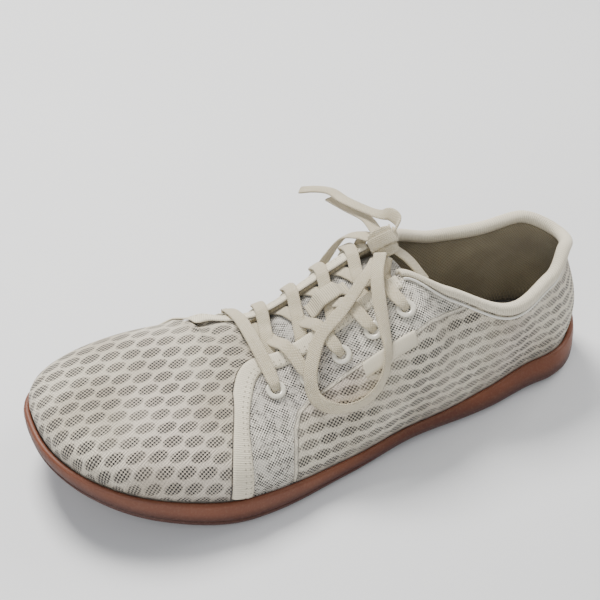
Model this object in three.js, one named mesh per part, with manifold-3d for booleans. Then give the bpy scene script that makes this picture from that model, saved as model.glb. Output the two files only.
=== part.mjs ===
// A left barefoot shoe: a hollow mesh upper on a thin moulded rubber cup sole, laced with flat laces.
// Millimetres. +X points to the toe, +Y to the wearer's left, which is the outer side, and +Z up.
// The origin is on the floor under the middle of the heel, where the sole is flat.
import * as THREE from "three";
import { mergeVertices } from "three/addons/utils/BufferGeometryUtils.js";
import Module from "manifold-3d";

const wasm = await Module();
wasm.setup();

// Driving sizes
const LENGTH = 284; // outsole, heel back to toe tip
const BALL_WIDTH = 106; // outsole, across the ball
const HEEL_WIDTH = 70; // outsole, across the heel
const INSTEP_HEIGHT = 74; // ridge of the upper over the floor, at the top of the throat
const HEEL_HEIGHT = 68; // upper's own edge over the floor, at the heel's back
const WALL = 2; // upper's mesh, foam and lining together
const SEAT = 5.5; // rubber under the foot
const LIP = 2.6; // thickness of the sole's side wall
const CLEAR = 0.3; // gap between pieces that touch
const INSOLE = 3; // thickness of the insole
const THROAT = 12.5; // half the width of the throat
const TONGUE = 2.5; // thickness of the padded tongue
const TONGUE_WIDTH = 40;
const TAPE = 0.9; // thickness of the quarter tapes and of the side tag
const TAPE_WIDTH = 8;
const TAG_WIDTH = 7;
const ROLL = 3.3; // radius of the padded collar roll
const KEEPER = 0.8; // thickness of the webbing on the tongue that keeps the lace
const KEEPER_WIDTH = 10;
const EYELETS = 5; // on each side
const EYELET_DOWN = 30.7; // from the ridge line to an eyelet, over the upper
const EYELET_BORE = 2.2; // radius
const EYELET_BARREL = 2.9; // outer radius
const EYELET_FLANGE = 4.6; // radius
const FLANGE = 0.9; // thickness
const LACE_WIDTH = 6.2;
const LACE = 1.3; // thickness
const KNOT = 5.2; // half the width of the knot
const KNOT_HEIGHT = 8; // middle of the knot over the ridge line

// Places along the shoe, as shares of its length from the heel's back
const HEEL_TURN = 0.13; // sections turn about here round the heel
const TOE_TURN = 0.7; // and about here round the toe
const THROAT_FRONT = 0.645;
const THROAT_ROUND = 0.05; // length of the throat's round end
const THROAT_BACK = 0.385;
const EYELET_FRONT = 0.635;
const EYELET_BACK = 0.406;
const TAG = [0.498, 0.409];
const KEEPER_FRONT = 0.529;
const KEEPER_BACK = 0.455;

// Line that the sections turn about. at: share of LENGTH. y: millimetres off the long axis.
const SPINE = [
  { at: 0.13, y: 0 },
  { at: 0.42, y: -9 },
  { at: 0.6, y: -6.5 },
  { at: 0.7, y: -12.4 },
];

// Outline of the sole. at: share of LENGTH.
// outer, inner: distance from the long axis, as shares of half BALL_WIDTH.
const OUTLINE = [
  { at: 0.13, outer: 0.651, inner: 0.66 },
  { at: 0.25, outer: 0.744, inner: 0.62 },
  { at: 0.4, outer: 0.8, inner: 0.568 },
  { at: 0.55, outer: 0.931, inner: 0.769 },
  { at: 0.7, outer: 1.039, inner: 1.043 },
];

// Round its ends the outline is part of an oval; a higher power is squarer.
const TOE_POWER = { outer: 2.2, inner: 2.94 };
const HEEL_POWER = { outer: 2.04, inner: 2.2 };

// Height of the sole's underside over the floor. at: share of LENGTH. lift: millimetres.
const ROCKER = [
  { at: 0, lift: 5.5 },
  { at: 0.06, lift: 0 },
  { at: 0.28, lift: 0 },
  { at: 0.42, lift: 1.6 },
  { at: 0.54, lift: 0 },
  { at: 0.72, lift: 0 },
  { at: 0.86, lift: 8.2 },
  { at: 1, lift: 20.5 },
];

// The sole's side. at: share of LENGTH. height: millimetres from the underside to the lip's top.
// flare: how far the lip's top stands in from the widest part, in millimetres.
const LIP_HEIGHT = [
  { at: 0, height: 16.1, flare: 0.3 },
  { at: 0.13, height: 13.9, flare: 3.8 },
  { at: 0.25, height: 11.4, flare: 3.3 },
  { at: 0.38, height: 8.1, flare: 1.6 },
  { at: 0.55, height: 10.3, flare: 0.9 },
  { at: 0.75, height: 14.5, flare: 0.8 },
  { at: 1, height: 10.6, flare: 0.2 },
];

// Top of the upper over the vamp and throat. at: share of LENGTH.
// height: ridge line, as a share of INSTEP_HEIGHT. tilt: slope of the top down to the outer side.
const RIDGE = [
  { at: 0.37, height: 1.015, tilt: -0.004 },
  { at: 0.42, height: 0.939, tilt: 0.009 },
  { at: 0.52, height: 0.799, tilt: 0.089 },
  { at: 0.62, height: 0.687, tilt: 0.213 },
  { at: 0.7, height: 0.663, tilt: 0.221 },
];

// Edge of the collar. at: share of LENGTH. out: distance from the spine, as a share of half HEEL_WIDTH.
// height: share of HEEL_HEIGHT. lean: degrees below level of the wall at its edge.
const COLLAR = [
  { at: 0, out: 0.739, height: 0.964, lean: 100 },
  { at: 0.07, out: 0.632, height: 1.018, lean: 92 },
  { at: 0.13, out: 0.742, height: 0.916, lean: 84 },
  { at: 0.22, out: 0.973, height: 0.833, lean: 76 },
  { at: 0.32, out: 0.747, height: 0.989, lean: 55 },
];

// Fullness of the wall between the sole and its edge. at: share of LENGTH.
// bulge: millimetres out at the side. side, top: handle lengths at the sole and at the edge, as shares.
const WALLS = [
  { at: 0, bulge: 5.7, side: 0.42, top: 0.22 },
  { at: 0.13, bulge: 3.3, side: 0.38, top: 0.29 },
  { at: 0.3, bulge: 4, side: 0.44, top: 0.34 },
  { at: 0.42, bulge: 5.1, side: 0.62, top: 0.67 },
  { at: 0.6, bulge: 4.8, side: 0.4, top: 0.44 },
  { at: 0.7, bulge: 4, side: 0.53, top: 0.46 },
  { at: 1, bulge: 3.7, side: 0.83, top: 0.69 },
];

// Tongue. at: share of LENGTH. wide: share of TONGUE_WIDTH. rise: how far its top stands over its usual
// place, as a share of the room that is left for the lace under the upper.
const TONGUE_ROWS = [
  { at: 0.668, wide: 0.7, rise: 0.85 },
  { at: 0.648, wide: 0.86, rise: 0.85 },
  { at: 0.628, wide: 0.96, rise: 0 },
  { at: 0.5, wide: 1, rise: 0 },
  { at: 0.43, wide: 0.98, rise: 0 },
  { at: 0.39, wide: 0.88, rise: -1.1 },
  { at: 0.362, wide: 0.76, rise: -1.1 },
];

// Middle lines of the quarter tapes. at: share of LENGTH.
// fall: 0 along the throat's edge, 1 down at the sole's lip.
const TAPES = {
  outer: [
    { at: 0.734, fall: 1 },
    { at: 0.728, fall: 0.76 },
    { at: 0.718, fall: 0.55 },
    { at: 0.704, fall: 0.39 },
    { at: 0.687, fall: 0.235 },
    { at: 0.667, fall: 0.09 },
    { at: 0.65, fall: 0.02 },
    { at: 0.632, fall: 0 },
    { at: 0.52, fall: 0 },
    { at: 0.393, fall: 0 },
  ],
  inner: [
    { at: 0.762, fall: 1 },
    { at: 0.758, fall: 0.76 },
    { at: 0.75, fall: 0.55 },
    { at: 0.738, fall: 0.38 },
    { at: 0.72, fall: 0.22 },
    { at: 0.695, fall: 0.1 },
    { at: 0.665, fall: 0.03 },
    { at: 0.635, fall: 0 },
    { at: 0.52, fall: 0 },
    { at: 0.393, fall: 0 },
  ],
};

// A crossing strand, from under one edge of the throat to the eyelet on the other side.
// across: -1 at the first edge, 0 in the middle, 1 at the other edge. over, under: height of the strand
// that lies on top and of the one below it, 0 on the tongue and 1 on the tape.
const STRAND = [
  { across: -0.84, over: 0.08, under: 0.08 },
  { across: -0.4, over: 0.18, under: 0.1 },
  { across: 0, over: 0.33, under: 0.12 },
  { across: 0.4, over: 0.42, under: 0.3 },
  { across: 0.7, over: 0.76, under: 0.72 },
  { across: 0.92, over: 1.03, under: 1.03 },
];

// The lace's loops and the two strands that rise to its knot. at: share of LENGTH.
// down: millimetres from the ridge line. height: millimetres over the upper.
// turn: degrees that the lace is rolled about its own line.
const LOOPS = {
  lace_loop_outer: [
    { at: 0.41, down: 3.4, height: 6.6, turn: 0 },
    { at: 0.428, down: 7, height: 7.3, turn: 0 },
    { at: 0.4576, down: 11, height: 7, turn: 0 },
    { at: 0.5015, down: 15.6, height: 5.5, turn: 0 },
    { at: 0.5436, down: 18.8, height: 4.9, turn: 0 },
    { at: 0.5697, down: 25.7, height: 5.8, turn: 0 },
    { at: 0.5836, down: 32.5, height: 5, turn: 0 },
    { at: 0.585, down: 39.8, height: 3.5, turn: 15 },
    { at: 0.571, down: 46.5, height: 3.6, turn: 35 },
    { at: 0.547, down: 51, height: 4, turn: 50 },
    { at: 0.52, down: 53.6, height: 4, turn: 35 },
    { at: 0.495, down: 53, height: 3.6, turn: 10 },
    { at: 0.4756, down: 49, height: 3.6, turn: 0 },
    { at: 0.462, down: 41.8, height: 4, turn: 0 },
    { at: 0.4555, down: 33.8, height: 5, turn: 0 },
    { at: 0.4465, down: 23.8, height: 7.4, turn: 0 },
    { at: 0.43, down: 13, height: 10, turn: 0 },
    { at: 0.408, down: 5, height: 11, turn: 0 },
  ],
  lace_loop_inner: [
    { at: 0.392, down: -9.6, height: 7.2, turn: 0 },
    { at: 0.398, down: -16, height: 6.6, turn: 0 },
    { at: 0.41, down: -24, height: 6.8, turn: 0 },
    { at: 0.432, down: -31, height: 6, turn: 0 },
    { at: 0.46, down: -38, height: 4.5, turn: 0 },
    { at: 0.487, down: -47, height: 3.2, turn: 0 },
    { at: 0.495, down: -56, height: 3, turn: 0 },
    { at: 0.478, down: -63, height: 3, turn: 0 },
    { at: 0.449, down: -60, height: 3, turn: 0 },
    { at: 0.415, down: -51, height: 3.4, turn: 0 },
    { at: 0.388, down: -41, height: 4, turn: 0 },
    { at: 0.376, down: -28, height: 4.4, turn: 0 },
    { at: 0.38, down: -17, height: 4.2, turn: 0 },
    { at: 0.385, down: -9, height: 4, turn: 0 },
  ],
  lace_riser_front: [
    { at: 0.403, down: 10.3, height: -2.6, turn: 0 },
    { at: 0.401, down: 7.4, height: -0.9, turn: 0 },
    { at: 0.396, down: 5.2, height: 2, turn: 0 },
    { at: 0.391, down: 3.6, height: 4.4, turn: 0 },
  ],
};

// The lace's ends and the strand that comes up behind the collar's corner, in millimetres from the
// middle of the knot.
const ENDS = {
  lace_riser_back: [
    { x: -15, y: 17, z: -16, turn: 0 },
    { x: -11, y: 13, z: -10, turn: 0 },
    { x: -7.5, y: 8.6, z: -5.6, turn: 0 },
    { x: -3, y: 3.3, z: -2.3, turn: 0 },
  ],
  lace_end_long: [
    { x: -4.5, y: 0.4, z: 3.8, turn: -60 },
    { x: -9, y: -3, z: 6.6, turn: -75 },
    { x: -8.4, y: -9, z: 7.4, turn: -50 },
    { x: -5.3, y: -13, z: 6, turn: -15 },
    { x: -3.4, y: -20, z: 4, turn: 0 },
    { x: 1.1, y: -36.7, z: 1.6, turn: 0 },
    { x: 2.8, y: -49.2, z: 0, turn: 0 },
    { x: 7.8, y: -56.8, z: -2, turn: 0 },
    { x: 13.1, y: -61.6, z: -4, turn: 0 },
  ],
  lace_end_short: [
    { x: 0, y: -5.7, z: 0.8, turn: 0 },
    { x: -1.8, y: -19.4, z: 0.2, turn: 0 },
    { x: 0, y: -34.1, z: -2.4, turn: 0 },
    { x: 2.7, y: -49, z: -4.2, turn: 0 },
  ],
};

const smooth = (t) => t * t * (3 - 2 * t);
const clamp = (v, low, high) => Math.min(high, Math.max(low, v));

// Reads one column of a table at a place, along a curve that never overshoots its rows.
// Its ends are level, or free to keep their slope.
function read(table, column, at, free = false) {
  const last = table.length - 1;
  const rise = (k) =>
    (table[k + 1][column] - table[k][column]) / (table[k + 1].at - table[k].at);
  const slope = (k) => {
    if (k === 0) return free ? rise(0) : 0;
    if (k === last) return free ? rise(last - 1) : 0;
    const a = rise(k - 1);
    const b = rise(k);
    return a * b <= 0 ? 0 : (2 * a * b) / (a + b);
  };
  const place = clamp(at, table[0].at, table[last].at);
  let k = 0;
  while (k < last - 1 && place > table[k + 1].at) k += 1;
  const wide = table[k + 1].at - table[k].at;
  const t = (place - table[k].at) / wide;
  const flat = table[k][column] + (table[k + 1][column] - table[k][column]) * smooth(t);
  const out = slope(k) * wide * t * (1 - t) * (1 - t);
  const back = slope(k + 1) * wide * t * t * (1 - t);
  return flat + out - back;
}

const alongX = (at) => (at - HEEL_TURN) * LENGTH;
const shareOf = (x) => x / LENGTH + HEEL_TURN;
const spineY = (at) => read(SPINE, "y", at);

// The section at a place: its foot on the spine and the way that it faces. side is 1 outside and -1 inside.
// Past the heel's back or the toe's tip, a place carries on round the other side.
function section(place, way) {
  const over = place < 0 || place > 1;
  const at = place < 0 ? -place : place > 1 ? 2 - place : place;
  const side = over ? -way : way;
  const spine = clamp(at, HEEL_TURN, TOE_TURN);
  const turned =
    at < HEEL_TURN ? (at - HEEL_TURN) / HEEL_TURN : (at - spine) / (1 - TOE_TURN);
  const angle = (turned * Math.PI) / 2;
  return {
    at,
    side,
    angle,
    x: alongX(spine),
    y: spineY(spine),
    dx: Math.sin(angle),
    dy: Math.cos(angle) * side,
  };
}

// Distance from the spine to the outside of the sole, along a section.
function reach(s) {
  const column = s.side > 0 ? "outer" : "inner";
  const spine = clamp(s.at, HEEL_TURN, TOE_TURN);
  const across = (read(OUTLINE, column, spine) * BALL_WIDTH) / 2 - s.side * s.y;
  if (s.angle === 0) return across;
  const ahead = (s.angle < 0 ? HEEL_TURN : 1 - TOE_TURN) * LENGTH;
  const power = (s.angle < 0 ? HEEL_POWER : TOE_POWER)[column];
  const oval =
    Math.pow(Math.abs(Math.cos(s.angle)) / across, power) +
    Math.pow(Math.abs(Math.sin(s.angle)) / ahead, power);
  return Math.pow(oval, -1 / power);
}

const lift = (s, r) => read(ROCKER, "lift", shareOf(s.x + s.dx * r), true);
const ridge = (at) => read(RIDGE, "height", at, true) * INSTEP_HEIGHT;
const tilt = (at, side) => side * read(RIDGE, "tilt", at, true);
const toeSlope = () => (ridge(TOE_TURN - 0.01) - ridge(TOE_TURN)) / (0.01 * LENGTH);

// Half the width of the throat at a place
function slot(at) {
  const round = clamp(1 - (THROAT_FRONT - at) / THROAT_ROUND, 0, 1);
  return THROAT * Math.sqrt(1 - round * round);
}

// Height of the sole's lip in a section.
const lipHeight = (s) => lift(s, reach(s)) + read(LIP_HEIGHT, "height", s.at);

// Distance from the spine to the upper's outside where it stands in the lip.
const footOf = (s) => reach(s) - read(LIP_HEIGHT, "flare", s.at) - LIP - CLEAR;

// A wall's outside as a cubic curve of distance and height, from the lip to its top.
// top: distance, height, slope down and handle there. bulge, side: the handle at the lip.
function wall(s, top, bulge, side) {
  const foot = footOf(s);
  const low = lipHeight(s);
  return new THREE.CubicBezierCurve(
    new THREE.Vector2(foot, low),
    new THREE.Vector2(foot + bulge, low + side * (top.z - low)),
    new THREE.Vector2(
      top.r + Math.cos(top.lean) * top.handle,
      top.z - Math.sin(top.lean) * top.handle,
    ),
    new THREE.Vector2(top.r, top.z),
  );
}

// The whole curve of a section over the foot, from the lip to the ridge line.
function arch(s) {
  const at = Math.min(s.at, TOE_TURN);
  const lean = s.at > TOE_TURN
    ? Math.atan(toeSlope() * s.dx + tilt(at, 1) * s.dy)
    : Math.atan(tilt(at, s.side));
  const z = ridge(at);
  const handle = read(WALLS, "top", s.at) * Math.hypot(footOf(s), z - lipHeight(s));
  return wall(
    s,
    { r: 0, z, lean, handle },
    read(WALLS, "bulge", s.at),
    read(WALLS, "side", s.at),
  );
}

// The share of a curve at which its distance from the spine comes down to r.
function shareAtReach(curve, r) {
  let low = 0.3;
  let high = 1;
  for (let k = 0; k < 30; k += 1) {
    const middle = (low + high) / 2;
    if (curve.getPoint(middle).x > r) low = middle;
    else high = middle;
  }
  return (low + high) / 2;
}

// The first part of a cubic curve, up to a share of it.
function trimmed(curve, share) {
  const mix = (a, b) => a.clone().lerp(b, share);
  const [a, b, c] = [mix(curve.v0, curve.v1), mix(curve.v1, curve.v2), mix(curve.v2, curve.v3)];
  const [d, e] = [mix(a, b), mix(b, c)];
  return new THREE.CubicBezierCurve(curve.v0, a, d, mix(d, e));
}

// The outside of the upper in a section, from the lip to its edge: closed over the toe, open at the throat,
// and carried on from the throat's last section round the collar.
function wallCurve(s) {
  if (s.at >= THROAT_FRONT) return arch(s);
  const throat = (place) => {
    const whole = arch(place);
    return trimmed(whole, shareAtReach(whole, slot(place.at)));
  };
  if (s.at >= THROAT_BACK) return throat(s);
  const last = section(THROAT_BACK, s.side);
  const end = throat(last);
  const span = (curve) => curve.v0.distanceTo(curve.v3);
  const rows = COLLAR.map((row) => ({
    at: row.at,
    r: (row.out * HEEL_WIDTH) / 2,
    z: row.height * HEEL_HEIGHT,
    lean: THREE.MathUtils.degToRad(row.lean),
    bulge: read(WALLS, "bulge", row.at),
    side: read(WALLS, "side", row.at),
    top: read(WALLS, "top", row.at),
  })).concat({
    at: THROAT_BACK,
    r: end.v3.x,
    z: end.v3.y,
    lean: Math.atan2(end.v3.y - end.v2.y, end.v2.x - end.v3.x),
    bulge: end.v1.x - end.v0.x,
    side: (end.v1.y - end.v0.y) / (end.v3.y - end.v0.y),
    top: end.v2.distanceTo(end.v3) / span(end),
  });
  const at = (column) => read(rows, column, s.at);
  const [r, z] = [at("r"), at("z")];
  const handle = at("top") * Math.hypot(footOf(s) - r, z - lipHeight(s));
  return wall(s, { r, z, lean: at("lean"), handle }, at("bulge"), at("side"));
}

// Distance and height of the upper's edge in a section
function edge(s) {
  const top = wallCurve(s).v3;
  return { r: top.x, z: top.y };
}

// A point of a section at a share of the wall, from 0 at the lip to 1 at its edge, and depth inside its surface.
// From -1 to 0 it's the skirt inside the lip, down to the footbed.
function skin(s, share, depth = 0) {
  const foot = footOf(s);
  const low = lift(s, reach(s)) + SEAT + CLEAR;
  if (share < 0)
    return new THREE.Vector2(foot - depth, low + (share + 1) * (lipHeight(s) - low));
  const curve = wallCurve(s);
  const p = curve.getPoint(share);
  if (share >= 1 && p.x < 1e-9)
    return new THREE.Vector2(0, p.y - depth * Math.hypot(1, toeSlope(), tilt(TOE_TURN, 1)));
  const t = curve.getTangent(share);
  return new THREE.Vector2(p.x - depth * t.y, p.y + depth * t.x);
}

const place = (s, p) => new THREE.Vector3(s.x + s.dx * p.x, s.y + s.dy * p.x, p.y);

// A point of a section at a distance down from its top, and a height over its skin.
function along(s, curve, down, height) {
  const share = curve.getUtoTmapping(clamp(1 - Math.abs(down) / curve.getLength(), 0, 1));
  const p = curve.getPoint(share);
  const t = curve.getTangent(share);
  return place(s, new THREE.Vector2(p.x + height * t.y, p.y - height * t.x));
}

// A point on the upper or over its throat, by its distance down from the ridge line and its height
// over the skin. A distance over 0 is on the outer side.
function over(at, down, height) {
  const s = section(at, down < 0 ? -1 : 1);
  return along(s, arch(s), down, height);
}

// The way out from the skin at such a point.
function facing(at, down) {
  const step = 0.5;
  const ahead = over(at + step / LENGTH, down, 0).sub(over(at - step / LENGTH, down, 0));
  const across = over(at, down + step, 0).sub(over(at, down - step, 0));
  return ahead.cross(across).normalize();
}

// A closed mesh's vertices merged and turned to face out.
function solid(points, faces) {
  const g = new THREE.BufferGeometry();
  g.setAttribute(
    "position",
    new THREE.Float32BufferAttribute(points.flatMap((p) => [p.x, p.y, p.z]), 3),
  );
  g.setIndex(faces.flat());
  const merged = mergeVertices(g, 1e-4);
  const kept = [];
  for (let k = 0; k < merged.index.count; k += 3) {
    const [a, b, c] = [0, 1, 2].map((n) => merged.index.getX(k + n));
    if (a !== b && b !== c && a !== c) kept.push(a, b, c);
  }
  merged.setIndex(kept);
  if (volumeOf(merged) < 0) {
    for (let k = 0; k < kept.length; k += 3)
      [kept[k + 1], kept[k + 2]] = [kept[k + 2], kept[k + 1]];
    merged.setIndex(kept);
  }
  return merged;
}

function volumeOf(g) {
  const p = g.getAttribute("position");
  const [a, b, c] = [new THREE.Vector3(), new THREE.Vector3(), new THREE.Vector3()];
  let total = 0;
  for (let k = 0; k < g.index.count; k += 3) {
    a.fromBufferAttribute(p, g.index.getX(k));
    b.fromBufferAttribute(p, g.index.getX(k + 1));
    c.fromBufferAttribute(p, g.index.getX(k + 2));
    total += a.dot(b.cross(c)) / 6;
  }
  return total;
}

// A skin over a row of outlines that have the same number of points.
// ring: the last outline meets the first. open: an outline's last point doesn't meet its first.
// skip: leaves out the face after a point, between an outline and the next.
function loft(outlines, { ring = false, open = false, skip = () => false } = {}) {
  const n = outlines[0].length;
  const faces = [];
  const rows = ring ? outlines.length : outlines.length - 1;
  for (let i = 0; i < rows; i += 1) {
    const a = i * n;
    const b = ((i + 1) % outlines.length) * n;
    for (let j = 0; j < (open ? n - 1 : n); j += 1) {
      const k = (j + 1) % n;
      if (!skip(i, j)) faces.push([a + j, b + j, b + k], [a + j, b + k, a + k]);
    }
  }
  if (!ring)
    [0, (outlines.length - 1) * n].forEach((start, end) => {
      for (let j = 0; j < n / 2 - 1; j += 1) {
        const quad = [j, j + 1, n - 2 - j, n - 1 - j].map((k) => start + k);
        const [p, q, r, t] = end ? quad.reverse() : quad;
        faces.push([p, q, r], [p, r, t]);
      }
    });
  return solid(outlines.flat(), faces);
}

// Solids as manifolds, and back
function manifold(g) {
  const bare = mergeVertices(g.deleteAttribute("normal").deleteAttribute("uv"), 1e-4);
  return new wasm.Manifold(
    new wasm.Mesh({
      numProp: 3,
      vertProperties: new Float32Array(bare.getAttribute("position").array),
      triVerts: new Uint32Array(bare.index.array),
    }),
  );
}

function geometry(m) {
  const mesh = m.getMesh();
  return new THREE.BufferGeometry()
    .setAttribute("position", new THREE.BufferAttribute(mesh.vertProperties, 3))
    .setIndex(new THREE.BufferAttribute(mesh.triVerts, 1));
}

// Sections all the way round: heel's back, outer side, toe, inner side.
const HEEL_STEPS = 7;
const SIDE_STEPS = 12;
const TOE_STEPS = 8;
function places() {
  const list = [];
  for (let k = 0; k < HEEL_STEPS; k += 1) list.push((HEEL_TURN * k) / HEEL_STEPS);
  for (let k = 0; k < SIDE_STEPS; k += 1)
    list.push(HEEL_TURN + ((TOE_TURN - HEEL_TURN) * k) / SIDE_STEPS);
  for (let k = 0; k <= TOE_STEPS; k += 1)
    list.push(TOE_TURN + ((1 - TOE_TURN) * k) / TOE_STEPS);
  const near = (a, b) => Math.abs(a - b) < 0.009;
  const key = [THROAT_BACK, THROAT_FRONT - THROAT_ROUND, THROAT_FRONT];
  for (const share of [0.03, 0.15, 0.5])
    key.push(THROAT_FRONT - THROAT_ROUND * share);
  return [...list.filter((a) => !key.some((b) => near(a, b))), ...key].sort((a, b) => a - b);
}

function around() {
  const list = places();
  return [
    ...list.map((at) => section(at, 1)),
    ...list.slice(1, -1).reverse().map((at) => section(at, -1)),
  ];
}

const UPPER_ROWS = 9;
function upperGeometry() {
  const ring = around();
  const shares = [-1, ...Array.from({ length: UPPER_ROWS + 1 }, (_, k) => k / UPPER_ROWS)];
  const outlines = ring.map((s) => [
    ...shares.map((share) => place(s, skin(s, share))),
    ...shares.toReversed().map((share) => place(s, skin(s, share, WALL))),
  ]);
  const shut = ring.map((s) => s.at >= THROAT_FRONT);
  const wall = manifold(
    loft(outlines, {
      ring: true,
      skip: (i, j) => j === shares.length - 1 && shut[i] && shut[(i + 1) % ring.length],
    }),
  );
  const holes = eyeletPlaces().map(({ at, down }) => {
    const radius = EYELET_BARREL + CLEAR;
    const drill = new THREE.CylinderGeometry(radius, radius, 4 * WALL, EYELET_SIDES);
    return manifold(drill.applyMatrix4(seat(at, down)));
  });
  return geometry(holes.reduce((m, hole) => m.subtract(hole), wall));
}

// The sole: a half profile in each section from the middle of its underside, round its side and over the footbed.
const GROOVE = 0.7; // depth of the step round the forefoot's side
const GROOVE_AT = [0.5, 0.97]; // stretch of the shoe that has the step
function soleProfile(s) {
  const far = reach(s);
  const under = (r) => lift(s, r);
  const foot = under(far);
  const high = foot + read(LIP_HEIGHT, "height", s.at);
  const cut = s.at > GROOVE_AT[0] && s.at < GROOVE_AT[1] ? GROOVE : 0;
  const level = (r, z) => new THREE.Vector2(r, z);
  const flat = [0, 0.35, 0.7].map((share) => share * (far - 8));
  const inside = footOf(s) + CLEAR;
  const crest = inside + LIP;
  return [
    ...[...flat, far - 8].map((r) => level(r, under(r))),
    level(far - 3.2, foot + 0.5),
    level(far - 1, foot + 2.2),
    level(far, foot + 4.2),
    level(far - cut, foot + 4.9),
    level(far - cut, foot + 5.6),
    level(far, foot + 6.3),
    level((far + crest) / 2 + 0.2, foot + 0.6 * (high - foot) + 1.8),
    level(crest, high - 1),
    level(crest - LIP / 2, high),
    level(inside, high - 0.6),
    level(inside, foot + SEAT),
    ...flat.toReversed().map((r) => level(r, under(r) + SEAT)),
  ];
}

function soleGeometry() {
  const outlines = around().map((s) => soleProfile(s).map((p) => place(s, p)));
  return loft(outlines, { ring: true, skip: (i, j) => j === outlines[0].length - 1 });
}

// Insole: rests on the footbed, inside the upper's skirt.
function insoleGeometry() {
  const outlines = around().map((s) => {
    const flat = [0, 0.35, 0.7].map((share) => share * (reach(s) - 8));
    const inside = footOf(s) + CLEAR;
    const edge = footOf(s) - WALL - CLEAR;
    const share = (edge - flat[2]) / (inside - flat[2]);
    const low = lift(s, flat[2]) * (1 - share) + lift(s, reach(s)) * share;
    const rows = [...flat.map((r) => [r, lift(s, r)]), [edge, low]];
    const raised = (height) =>
      rows.map(([r, z]) => place(s, new THREE.Vector2(r, z + SEAT + 2 * CLEAR + height)));
    return [...raised(0), ...raised(INSOLE).toReversed()];
  });
  return loft(outlines, { ring: true, skip: (i, j) => j === outlines[0].length - 1 });
}

// Eyelets: a row down each side of the throat. seat: stands a turned piece on the skin there.
const EYELET_SIDES = 8;
function eyeletPlaces() {
  const gap = (EYELET_FRONT - EYELET_BACK) / (EYELETS - 1);
  return ["outer", "inner"].flatMap((side) =>
    Array.from({ length: EYELETS }, (_, k) => ({
      name: `eyelet_${side}_${k + 1}`,
      at: EYELET_FRONT - k * gap,
      down: side === "outer" ? EYELET_DOWN : -EYELET_DOWN,
    })),
  );
}

function seat(at, down) {
  const turn = new THREE.Quaternion().setFromUnitVectors(
    new THREE.Vector3(0, 1, 0),
    facing(at, down),
  );
  return new THREE.Matrix4().compose(over(at, down, 0), turn, new THREE.Vector3(1, 1, 1));
}

function eyeletGeometry() {
  const low = -WALL - CLEAR - FLANGE;
  const rim = 1.5 * CLEAR;
  const profile = [
    [EYELET_BORE, low],
    [EYELET_BARREL, low],
    [EYELET_BARREL, rim],
    [EYELET_FLANGE, rim],
    [EYELET_FLANGE - FLANGE, rim + FLANGE],
    [EYELET_BORE + FLANGE / 3, rim + FLANGE],
    [EYELET_BORE, low],
  ];
  return new THREE.LatheGeometry(
    profile.map(([r, y]) => new THREE.Vector2(r, y)),
    EYELET_SIDES,
  );
}

// Tongue: under the throat, with room for the lace between it and the upper.
const TONGUE_ROOM = WALL + LACE + 2.4 * CLEAR;
function tongueGeometry() {
  const steps = 10;
  const ways = [-1, -0.7, -0.35, 0, 0.35, 0.7, 1];
  const [front, back] = [TONGUE_ROWS.at(0).at, TONGUE_ROWS.at(-1).at];
  const rows = TONGUE_ROWS.toReversed();
  const outlines = Array.from({ length: steps + 1 }, (_, k) => {
    const at = front + ((back - front) * k) / steps;
    const half = (read(rows, "wide", at) * TONGUE_WIDTH) / 2;
    const room = TONGUE_ROOM - read(rows, "rise", at) * (TONGUE_ROOM - WALL - CLEAR);
    const line = (depth, thin) =>
      ways.map((way) => over(at, way * half, -depth - thin * way * way));
    return [...line(room, 0.3 * CLEAR), ...line(room + TONGUE, -TONGUE / 3).toReversed()];
  });
  return loft(outlines);
}

// Tapes, tag and keeper: a strip that lies on the upper along a line of places.
// line: turns a share of the way along into a place. heights: its underside there.
function stripGeometry(line, width, thickness, steps) {
  const outlines = Array.from({ length: steps + 1 }, (_, k) => {
    const [a, p, b] = [-0.5, 0, 0.5].map((d) => line(clamp((k + d) / steps, 0, 1)));
    const way = new THREE.Vector2((b.at - a.at) * LENGTH, b.down - a.down).normalize();
    const corner = (side, height) =>
      over(
        p.at - (side * way.y * width) / 2 / LENGTH,
        p.down + (side * way.x * width) / 2,
        p.height + height,
      );
    return [
      corner(-1, 0),
      corner(0, 0),
      corner(1, 0),
      corner(1, thickness),
      corner(0, thickness),
      corner(-1, thickness),
    ];
  });
  return loft(outlines);
}

// The middle line of a tape: from the lip over the vamp, then along the throat's edge.
function tapeLine(side) {
  const way = side === "outer" ? 1 : -1;
  const rows = TAPES[side];
  const path = new THREE.CatmullRomCurve3(
    rows.map(({ at, fall }) => {
      const s = section(at, way);
      const edge = THROAT + TAPE_WIDTH / 2;
      const lip = arch(s).getLength() - 4 * CLEAR;
      return new THREE.Vector3(at * LENGTH, edge + (lip - edge) * fall, 0);
    }),
    false,
    "centripetal",
  );
  return (share) => {
    const p = path.getPointAt(share);
    return { at: p.x / LENGTH, down: way * p.y, height: 1.8 * CLEAR };
  };
}

function tagLine(share) {
  return {
    at: TAG[0] + (TAG[1] - TAG[0]) * share,
    down: EYELET_DOWN + EYELET_FLANGE + 1.6 * TAG_WIDTH + 1.6 * share - TAG_WIDTH / 2,
    height: CLEAR,
  };
}

// The keeper is sewn to the tongue at both ends and bows over one crossing of the lace.
function keeperLine(share) {
  const low = -TONGUE_ROOM + CLEAR;
  const high = levelOf(STRAND[3].over) + LACE / 2 + 2 * CLEAR;
  const bow = smooth(clamp(Math.min(share, 1 - share) / 0.26 - 0.25, 0, 1));
  return {
    at: KEEPER_FRONT + (KEEPER_BACK - KEEPER_FRONT) * share,
    down: 0,
    height: low + (high - low) * bow,
  };
}

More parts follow.
